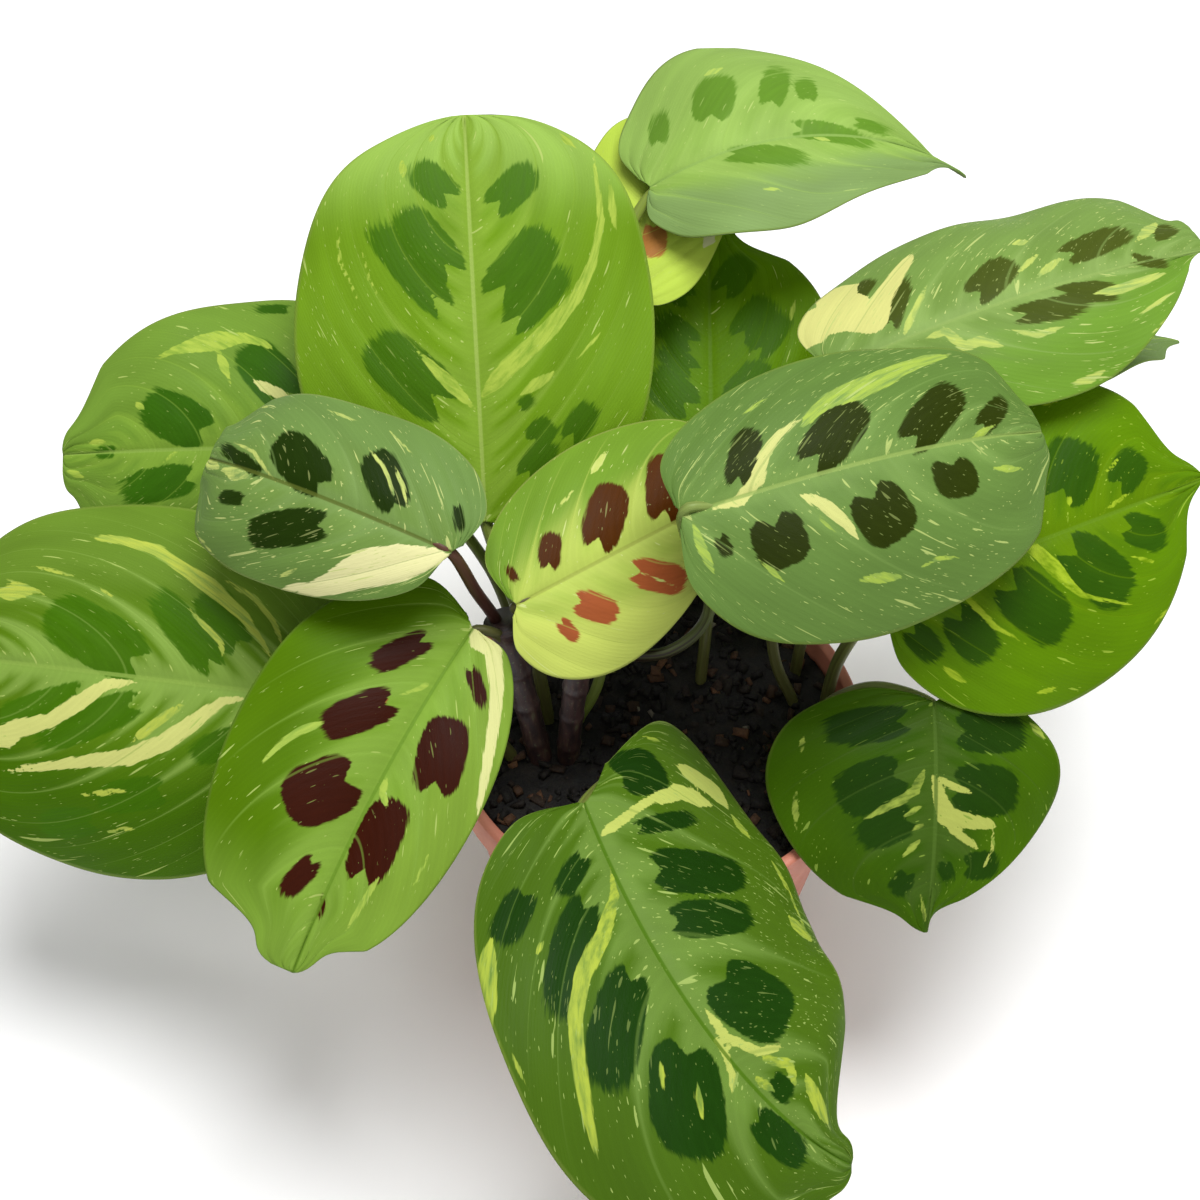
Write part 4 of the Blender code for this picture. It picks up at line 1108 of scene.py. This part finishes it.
class LeafSkin(Skin):
    """The upper face: pale bands beside the veins, blotches, streaks, flecks and fine veins."""

    def __init__(self, name, look):
        super().__init__(name + "_upper")
        self.look = look
        self.phase, self.u, self.is_right = vein_count(self)
        self.ahead, self.across, _ = self.attribute("sheet")
        self.dark, self.lime, self.cream = self.attribute("marks")
        self.redness, self.true_across, self.to_tip = self.attribute("tints")
        self.shift = self.times(self.is_right, RIGHT_SIDE_ON)
        self.ragged = self.add(self.veined(0.16, 0.95, 3.0, 0.6), -0.5)
        self.rough_edge = self.add(self.veined(0.45, 0.7, 2.0), -0.5)
        self.cloud = self.veined(1.0, 0.06, 2.0)
        self.mottle = self.veined(0.5, 0.35, 3.0, 0.6)
        self.from_main = near_whole(self, self.phase)
        self.line = self.times(self.ramp(self.from_main, 0.030, 0.006), self.ramp(self.u, 1.0, 0.75))
        self.fine = self.math("SINE", self.times(self.phase, 2 * math.pi * FINE_VEINS))

    def veined(self, slimness, scale, detail, roughness=0.5, seed=0.0):
        """Noise in cycles a millimetre, drawn out along the veins by a slimness below 1."""
        place = self.vector(self.ahead, self.times(self.across, slimness), self.add(self.shift, seed))
        return self.noise(place, scale, detail, roughness)

    def frayed(self, field, along_veins, both_ways):
        """How far inside a mark a point is, in millimetres, with its edge frayed by noise."""
        fray = self.add(self.times(self.ragged, along_veins), self.times(self.rough_edge, both_ways))
        return self.add(field, fray)

    def ground(self):
        """The greens between the veins, towards the margins and the tip, and the pale bands."""
        main_width, main_reach, minor_width, minor_reach, centre = self.look["bands"]
        from_minor = self.add(0.5, self.times(self.from_main, -1.0))
        main = band_edge(self, self.u, self.from_main, main_width, main_reach, self.ragged)
        minor = band_edge(self, self.u, from_minor, minor_width, minor_reach, self.ragged)
        middle = self.times(self.add(centre, self.times(self.u, -1.0)), 2.0)
        bands = self.ramp(self.most(self.most(main, minor), middle), -0.08, 0.14)
        outwards = self.add(self.u, self.times(self.add(self.cloud, -0.5), 0.5))
        # Some leaves' greens carry painted light: painted shade on one side in the outer colours of C, D
        # and K, painted shade over all of G, and a painted grey sheen in the sage greens of C and I.
        outer = self.mix(self.is_right, self.look["left"], self.look["right"])
        colour = self.mix(self.ramp(outwards, 0.22, 0.62), self.look["between"], outer)
        if self.look["tip"]:
            colour = self.mix(self.ramp(self.to_tip, 0.68, 0.97), colour, self.look["tip"])
        colour = self.mix(self.times(bands, self.look["band"]), colour, self.look["pale"])
        return self.shade(colour, self.cloud, 0.80, 1.20)

    def marked(self, colour, inside):
        """Lays the blotches and the streaks over a colour."""
        blotch = self.mix(self.ramp(self.redness, -0.1, 0.1), self.look["blotch"], self.look["red"])
        blotch = self.shade(self.shade(blotch, self.mottle, 0.82, 1.22), self.to_tip, 0.85, 1.2)
        colour = self.mix(inside, colour, blotch)
        lime = self.mix(self.ramp(self.mottle, 0.35, 0.75), self.look["lime"], self.look["pale"])
        lime = self.shade(lime, self.cloud, 0.92, 1.08)
        colour = self.mix(self.ramp(self.frayed(self.lime, *LIME_FRAY), -0.15, 0.2), colour, lime)
        cream = self.shade(self.look["cream"], self.mottle, 0.88, 1.06)
        return self.mix(self.ramp(self.frayed(self.cream, *CREAM_FRAY), -0.15, 0.2), colour, cream)

    def flecked(self, colour, inside):
        """Scatters dashes of three sizes in clusters, and specks, fainter on the blotches."""
        shows = self.add(0.85, self.times(inside, -0.55))
        clusters = self.times(self.veined(1.0, 0.075, 1.0, seed=9.0), 0.30)
        for slimness, scale, amount in DASHES:
            level = self.add(self.veined(slimness, scale, 1.0, seed=60 * scale), clusters)
            limit = 0.965 - 0.095 * amount * self.look["flecks"]
            dashes = self.times(self.ramp(level, limit, limit + 0.02), shows)
            colour = self.mix(dashes, colour, self.look["fleck"])
        limit = 0.845 - 0.07 * self.look["specks"]
        specks = self.ramp(self.veined(0.6, 1.5, 0.0, seed=5.0), limit, limit + 0.02)
        return self.mix(self.times(specks, shows), colour, self.look["fleck"])

    def veins(self, colour):
        """Draws the main veins, the midrib, the rim and the fine veins."""
        colour = self.mix(self.times(self.line, 0.35), colour, self.look["pale"])
        rib = self.ramp(self.math("ABSOLUTE", self.true_across), 0.8, 0.35)
        colour = self.mix(self.times(rib, 0.8), colour, self.look["midrib"])
        colour = self.mix(self.times(self.ramp(self.u, 0.975, 0.995), 0.5), colour, self.look["rim"])
        return self.shade(colour, self.fine, 0.98, 1.01)

    def finish(self):
        """Joins the layers to the shader, and gives back the material."""
        inside = self.ramp(self.frayed(self.dark, *BLOTCH_FRAY), -0.35, 0.35)
        inside = self.times(inside, self.look["strength"])
        colour = self.veins(self.flecked(self.marked(self.ground(), inside), inside))
        self.put(self.shader.inputs["Base Color"], colour)
        rough = self.math("MULTIPLY_ADD", self.mottle, ROUGHNESS_SPREAD, LEAST_ROUGHNESS)
        self.put(self.shader.inputs["Roughness"], rough)
        self.shader.inputs["Specular IOR Level"].default_value = LEAF_GLOSS
        height = self.add(self.times(self.fine, 0.08), self.times(self.veined(0.7, 1.6, 2.0), 0.5))
        self.bump(self.add(height, self.times(self.line, -0.35)), 0.0002, 0.5)
        return self.material


def under_skin(name, look):
    """The lower face: paler and duller, with its veins."""
    skin = Skin(name + "_lower")
    phase = vein_count(skin)[0]
    ahead, across, _ = skin.attribute("sheet")
    mottle = skin.noise(skin.vector(ahead, skin.times(across, 0.4), 3.0), 0.3, 3.0, 0.6)
    line = skin.ramp(near_whole(skin, phase), 0.045, 0.008)
    fine = skin.math("SINE", skin.times(phase, 2 * math.pi * UNDER_VEINS))
    colour = skin.shade(look["under"], mottle, 0.75, 1.15)
    colour = skin.mix(skin.times(line, 0.5), colour, look["pale"])
    colour = skin.shade(colour, fine, 0.96, 1.04)
    skin.put(skin.shader.inputs["Base Color"], colour)
    skin.put(skin.shader.inputs["Roughness"], skin.math("MULTIPLY_ADD", mottle, 0.2, 0.5))
    skin.shader.inputs["Specular IOR Level"].default_value = 0.12
    height = skin.add(skin.times(line, 0.6), skin.times(fine, 0.15))
    skin.bump(height, 0.0003, 0.6)
    return skin.material


def stalk_skin(name, look):
    """The petiole: its colour changes from the foot up, with fine streaks along it."""
    skin = Skin(name + "_stalk")
    share, turn, _ = skin.attribute("stalk")
    streaks = skin.noise(skin.vector(skin.times(turn, 9.0), skin.times(share, 3.0)), 1.6, 3.0, 0.6)
    rise = skin.add(share, skin.times(skin.add(streaks, -0.5), 0.5))
    colour = skin.mix(skin.ramp(rise, 0.05, 0.55), look["foot"], look["stalk"])
    colour = skin.shade(colour, streaks, 0.72, 1.25)
    skin.put(skin.shader.inputs["Base Color"], colour)
    skin.put(skin.shader.inputs["Roughness"], skin.math("MULTIPLY_ADD", streaks, 0.25, 0.32))
    skin.shader.inputs["Specular IOR Level"].default_value = 0.2
    skin.bump(streaks, 0.0002, 0.5)
    return skin.material


def cane_skin():
    """Purple-brown bark with streaks and spots of grey-green, partly the bark's own flecks and partly
    painted sheen.
    """
    skin = Skin("cane_bark")
    share, turn, total = skin.attribute("stalk")
    millimetres = skin.times(share, total)
    streaks = skin.noise(skin.vector(skin.times(turn, 12.0), skin.times(millimetres, 0.12)), 1.0, 4.0, 0.65)
    spots = skin.noise(skin.vector(skin.times(turn, 20.0), skin.times(millimetres, 0.9)), 0.9, 1.0)
    colour = skin.mix(skin.ramp(streaks, 0.35, 0.7), CANE_DARK, CANE_RED)
    # The grey-green streaks and spots are partly painted sheen along the canes.
    colour = skin.mix(skin.times(skin.ramp(streaks, 0.58, 0.75), 0.7), colour, CANE_GREY_AND_SHEEN)
    colour = skin.mix(skin.times(skin.ramp(spots, 0.66, 0.72), 0.6), colour, CANE_GREY_AND_SHEEN)
    skin.put(skin.shader.inputs["Base Color"], colour)
    skin.put(skin.shader.inputs["Roughness"], skin.math("MULTIPLY_ADD", streaks, 0.3, 0.3))
    skin.bump(streaks, 0.0004, 0.7)
    return skin.material


def cane_piece(name):
    """A cane from the soil up to the leaves that it carries."""
    def swell(length):
        return 1.0 + RING_SWELL * sum(math.exp(-((length - at) / RING_WIDTH) ** 2) for at in CANE_RINGS)

    route = smooth_route(rooted(list(CANES[name])), CANE_SPACING)
    tube, faces, shares, turns, total = sweep_tube(route, CANE_SIDES, swell)
    stalk = np.stack((shares, turns, np.full(len(tube), total)), axis=-1)
    return new_object(name + "_grown", tube, faces, {"stalk": stalk}, [cane_skin()])


def inner_radius(height):
    """The pot's inner radius at a height."""
    outer = BASE_RADIUS + (RIM_RADIUS - BAND_PROUD - BASE_RADIUS) * height / POT_HEIGHT
    return outer - POT_WALL


def lathe(profile, sectors):
    """A closed surface turned round the pot's axis from (radius, height) points, axis to axis."""
    vertices = [(x, y, height) for radius, height in profile[1:-1] for x, y in ring(radius, sectors)]
    vertices += [(0.0, 0.0, profile[0][1]), (0.0, 0.0, profile[-1][1])]
    return vertices, closed_rings(len(profile) - 2, sectors)


def pot_profile():
    """From the middle of the floor inside, up the wall, over the rim and down to the base."""
    mouth = inner_radius(POT_HEIGHT)
    band_bottom = POT_HEIGHT - BAND_HEIGHT
    corner = inner_radius(POT_FLOOR + FLOOR_CORNER) - FLOOR_CORNER
    profile = [(0.0, POT_FLOOR), (corner * 0.5, POT_FLOOR)]
    for step in range(5):
        angle = math.pi / 2 * step / 4
        height = POT_FLOOR + FLOOR_CORNER * (1 - math.cos(angle))
        profile.append((corner + FLOOR_CORNER * math.sin(angle), height))
    low = POT_FLOOR + FLOOR_CORNER
    for step in range(1, 9):
        height = low + (POT_HEIGHT - RIM_ROUNDING - low) * step / 9
        profile.append((inner_radius(height), height))
    middle = (mouth + RIM_RADIUS) / 2
    across = (RIM_RADIUS - mouth) / 2
    for step in range(11):
        angle = math.pi * step / 10
        height = POT_HEIGHT - RIM_ROUNDING + RIM_ROUNDING * math.sin(angle)
        profile.append((middle - across * math.cos(angle), height))
    profile += [(RIM_RADIUS - 0.1, POT_HEIGHT - 4), (RIM_RADIUS - 0.25, band_bottom + 1.2),
                (RIM_RADIUS - 0.5, band_bottom + 0.4), (RIM_RADIUS - 0.9, band_bottom + 0.1)]
    outer = inner_radius(band_bottom) + POT_WALL
    profile += [(outer + 0.5, band_bottom), (outer + 0.1, band_bottom - 0.4)]
    top = band_bottom - 0.6
    for step in range(1, 15):
        height = top - (top - FLOOR_CORNER) * step / 15
        profile.append((inner_radius(height) + POT_WALL, height))
    base = BASE_RADIUS - RIM_ROUNDING
    for step in range(5):
        angle = math.pi / 2 * step / 4
        profile.append((base + RIM_ROUNDING * math.cos(angle), RIM_ROUNDING * (1 - math.sin(angle))))
    profile += [(base * 0.5, 0.0), (0.0, 0.0)]
    return profile


def drain(obj):
    """Cuts the drain holes through the pot's floor."""
    bm = bmesh.new()
    for x, y in ring(DRAIN_CIRCLE, DRAIN_HOLES):
        bmesh.ops.create_cone(
            bm, cap_ends=True, segments=DRAIN_SIDES, radius1=DRAIN_RADIUS * MM,
            radius2=DRAIN_RADIUS * MM, depth=4 * POT_FLOOR * MM,
            matrix=Matrix.Translation(Vector((x, y, 0.0)) * MM),
        )
    mesh = bpy.data.meshes.new("drain_cutter")
    bm.to_mesh(mesh)
    bm.free()
    cutter = bpy.data.objects.new("drain_cutter", mesh)
    bpy.context.scene.collection.objects.link(cutter)
    modifier = obj.modifiers.new("drain", "BOOLEAN")
    modifier.operation = "DIFFERENCE"
    modifier.solver = "EXACT"
    modifier.object = cutter
    graph = bpy.context.evaluated_depsgraph_get()
    cut = bpy.data.meshes.new_from_object(obj.evaluated_get(graph))
    obj.modifiers.clear()
    obj.data = cut
    bpy.data.objects.remove(cutter, do_unlink=True)


def pot_skin():
    """Moulded salmon plastic: faint mottling, fine level scuffs and a dusty satin."""
    skin = Skin("pot_moulded")
    place = skin.node("ShaderNodeTexCoord").outputs["Object"]
    cloud = skin.noise(place, 28.0, 3.0, 0.55)
    grain = skin.noise(place, 900.0, 2.0, 0.5)
    parts = skin.node("ShaderNodeSeparateXYZ")
    skin.put(parts.inputs[0], place)
    x, y, z = parts.outputs
    scuffs = skin.noise(skin.vector(skin.times(x, 0.25), skin.times(y, 0.25), z), 420.0, 3.0, 0.6)
    colour = skin.mix(skin.ramp(cloud, 0.35, 0.68), POT_SHADE, POT_PINK)
    colour = skin.shade(colour, scuffs, 0.90, 1.08)
    foot = skin.ramp(z, 0.02, 0.0)
    colour = skin.mix(skin.times(foot, 0.25), colour, SOIL_BROWN)
    skin.put(skin.shader.inputs["Base Color"], colour)
    skin.put(skin.shader.inputs["Roughness"], skin.math("MULTIPLY_ADD", scuffs, 0.25, 0.38))
    skin.shader.inputs["Specular IOR Level"].default_value = 0.4
    skin.bump(skin.add(grain, skin.times(scuffs, 0.6)), 0.00006, 0.5)
    return skin.material


def soil_skin():
    """Moist dark mix, its darkest ground partly painted shade: each bit carries its own tone, and the
    crumbs are rough.
    """
    skin = Skin("soil_crumbs")
    shade, kind, _ = skin.attribute("bit")
    place = skin.node("ShaderNodeTexCoord").outputs["Object"]
    coarse = skin.noise(place, 260.0, 4.0, 0.65)
    fine = skin.noise(place, 1400.0, 3.0, 0.6)
    # The darkest ground colour carries painted shade as well as the soil's own dark.
    ground = skin.mix(skin.ramp(coarse, 0.40, 0.72), SOIL_DARK_AND_SHADE, SOIL_BROWN)
    bark = skin.mix(shade, BARK_DARK, BARK_BRIGHT)
    stone = skin.mix(shade, STONE_DARK, STONE_BRIGHT)
    colour = skin.mix(skin.ramp(kind, 0.25, 0.5), ground, bark)
    colour = skin.mix(skin.ramp(kind, 0.75, 0.95), colour, stone)
    colour = skin.shade(colour, fine, 0.55, 1.35)
    skin.put(skin.shader.inputs["Base Color"], colour)
    skin.put(skin.shader.inputs["Roughness"], skin.math("MULTIPLY_ADD", fine, 0.4, 0.55))
    skin.shader.inputs["Specular IOR Level"].default_value = 0.3
    skin.bump(skin.add(coarse, skin.times(fine, 0.4)), 0.0008, 0.8)
    return skin.material


def soil_height(x, y):
    """The height of the crumbly surface at a place."""
    place = Vector((x, y, 0.0))
    lumps = noise(place / 9.0 + Vector((11.0, 3.0, 0.0)))
    crumbs = noise(place / 3.0) * 0.6 + abs(noise(place / 1.4)) * 0.5
    return SOIL_LEVEL + CRUMB_RELIEF * (lumps * 0.7 + crumbs)


def soil_piece():
    """The filling of the pot, with a crumbly surface and loose bits on it."""
    top = inner_radius(SOIL_LEVEL) - 2 * GAP
    bottom_height = POT_FLOOR + FLOOR_CORNER + GAP
    bottom = inner_radius(bottom_height) - 2 * GAP
    vertices = [(x, y, bottom_height) for x, y in ring(bottom, SOIL_SECTORS)]
    for step in range(SOIL_RINGS):
        places = ring(top * (1 - step / SOIL_RINGS), SOIL_SECTORS)
        vertices += [(x, y, soil_height(x, y)) for x, y in places]
    vertices += [(0.0, 0.0, bottom_height), (0.0, 0.0, soil_height(0.0, 0.0))]
    faces = closed_rings(SOIL_RINGS + 1, SOIL_SECTORS)
    data = [(0.0, 0.0, 0.0)] * len(vertices)
    add_chips(vertices, faces, data, top)
    return new_object("soil_grown", vertices, faces, {"bit": data}, [soil_skin()])


def add_chips(vertices, faces, data, top):
    """Scatters bark chips, crumbs and a few pale grains over the soil."""
    rng = random.Random(5)
    for _ in range(CHIPS):
        distance = top * math.sqrt(rng.random()) * 0.97
        angle = rng.uniform(0, 2 * math.pi)
        x = distance * math.cos(angle)
        y = distance * math.sin(angle)
        pale = rng.random() < 0.02
        size = rng.uniform(0.5, 1.0) if pale else rng.uniform(0.5, 1.9)
        shape = (size * rng.uniform(0.9, 1.9), size * rng.uniform(0.6, 1.1), size * rng.uniform(0.3, 0.7))
        turn = Matrix.Rotation(rng.uniform(0, 2 * math.pi), 3, "Z")
        tilt = Matrix.Rotation(rng.uniform(-0.6, 0.6), 3, "X")
        tilt = tilt @ Matrix.Rotation(rng.uniform(-0.6, 0.6), 3, "Y")
        middle = Vector((x, y, soil_height(x, y) + shape[2] * 0.5))
        shade = rng.random() ** 7
        kind = 1.0 if pale else 0.6
        start = len(vertices)
        for corner in CHIP_CORNERS:
            offset = Vector([c * s * rng.uniform(0.6, 1.1) for c, s in zip(corner, shape)])
            vertices.append(tuple(middle + turn @ (tilt @ offset)))
            data.append((shade, kind, 0.0))
        faces.extend(tuple(start + corner for corner in face) for face in CHIP_FACES)


def pot_piece():
    """The nursery pot."""
    vertices, faces = lathe(pot_profile(), POT_SECTORS)
    obj = new_object("pot_grown", vertices, faces, {}, [pot_skin()])
    drain(obj)
    return obj


def floor():
    """The pale paper that the pot stands on."""
    mesh = bpy.data.meshes.new("studio_floor")
    corners = [(x * FLOOR_REACH, y * FLOOR_REACH, 0) for x, y in ((-1, -1), (1, -1), (1, 1), (-1, 1))]
    mesh.from_pydata(corners, [], [(0, 1, 2, 3)])
    obj = bpy.data.objects.new("studio_floor", mesh)
    bpy.context.scene.collection.objects.link(obj)
    skin = Skin("studio_paper")
    place = skin.node("ShaderNodeTexCoord").outputs["Object"]
    grain = skin.noise(place, 60.0, 2.0)
    skin.put(skin.shader.inputs["Base Color"], skin.shade(FLOOR_WHITE, grain, 0.99, 1.01))
    skin.shader.inputs["Roughness"].default_value = 0.9
    skin.shader.inputs["Specular IOR Level"].default_value = 0.1
    mesh.materials.append(skin.material)


def lights():
    """An even white room, a soft light overhead and a fainter one in front."""
    world = bpy.data.worlds.new("studio")
    bpy.context.scene.world = world
    world.use_nodes = True
    background = world.node_tree.nodes["Background"]
    background.inputs["Color"].default_value = (1.0, 1.0, 1.0, 1.0)
    background.inputs["Strength"].default_value = WORLD_STRENGTH
    for name, (place, size, power) in LIGHTS.items():
        lamp = bpy.data.lights.new(name, "AREA")
        lamp.shape = "DISK"
        lamp.size = size
        lamp.energy = power
        obj = bpy.data.objects.new(name, lamp)
        obj.location = place
        aim = Vector(LIGHT_TARGET) - Vector(place)
        obj.rotation_euler = aim.to_track_quat("-Z", "Y").to_euler()
        bpy.context.scene.collection.objects.link(obj)


def camera():
    """The camera at the photo's viewing angle."""
    data = bpy.data.cameras.new("view")
    data.lens = CAMERA_LENS
    data.sensor_width = 36.0
    obj = bpy.data.objects.new("view", data)
    obj.location = CAMERA_PLACE
    obj.rotation_euler = (math.radians(CAMERA_TILT), 0.0, 0.0)
    bpy.context.scene.collection.objects.link(obj)
    bpy.context.scene.camera = obj


def settle(piece, node):
    """Sets a piece in the place of its solid."""
    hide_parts(node)
    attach(piece, "root")


def main():
    for name in LEAVES:
        settle(leaf_piece(name), name)
    for name in CANES:
        settle(cane_piece(name), name)
    settle(soil_piece(), "soil")
    settle(pot_piece(), "pot")
    floor()
    lights()
    camera()
    bpy.context.scene.view_settings.view_transform = "Standard"
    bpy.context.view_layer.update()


main()
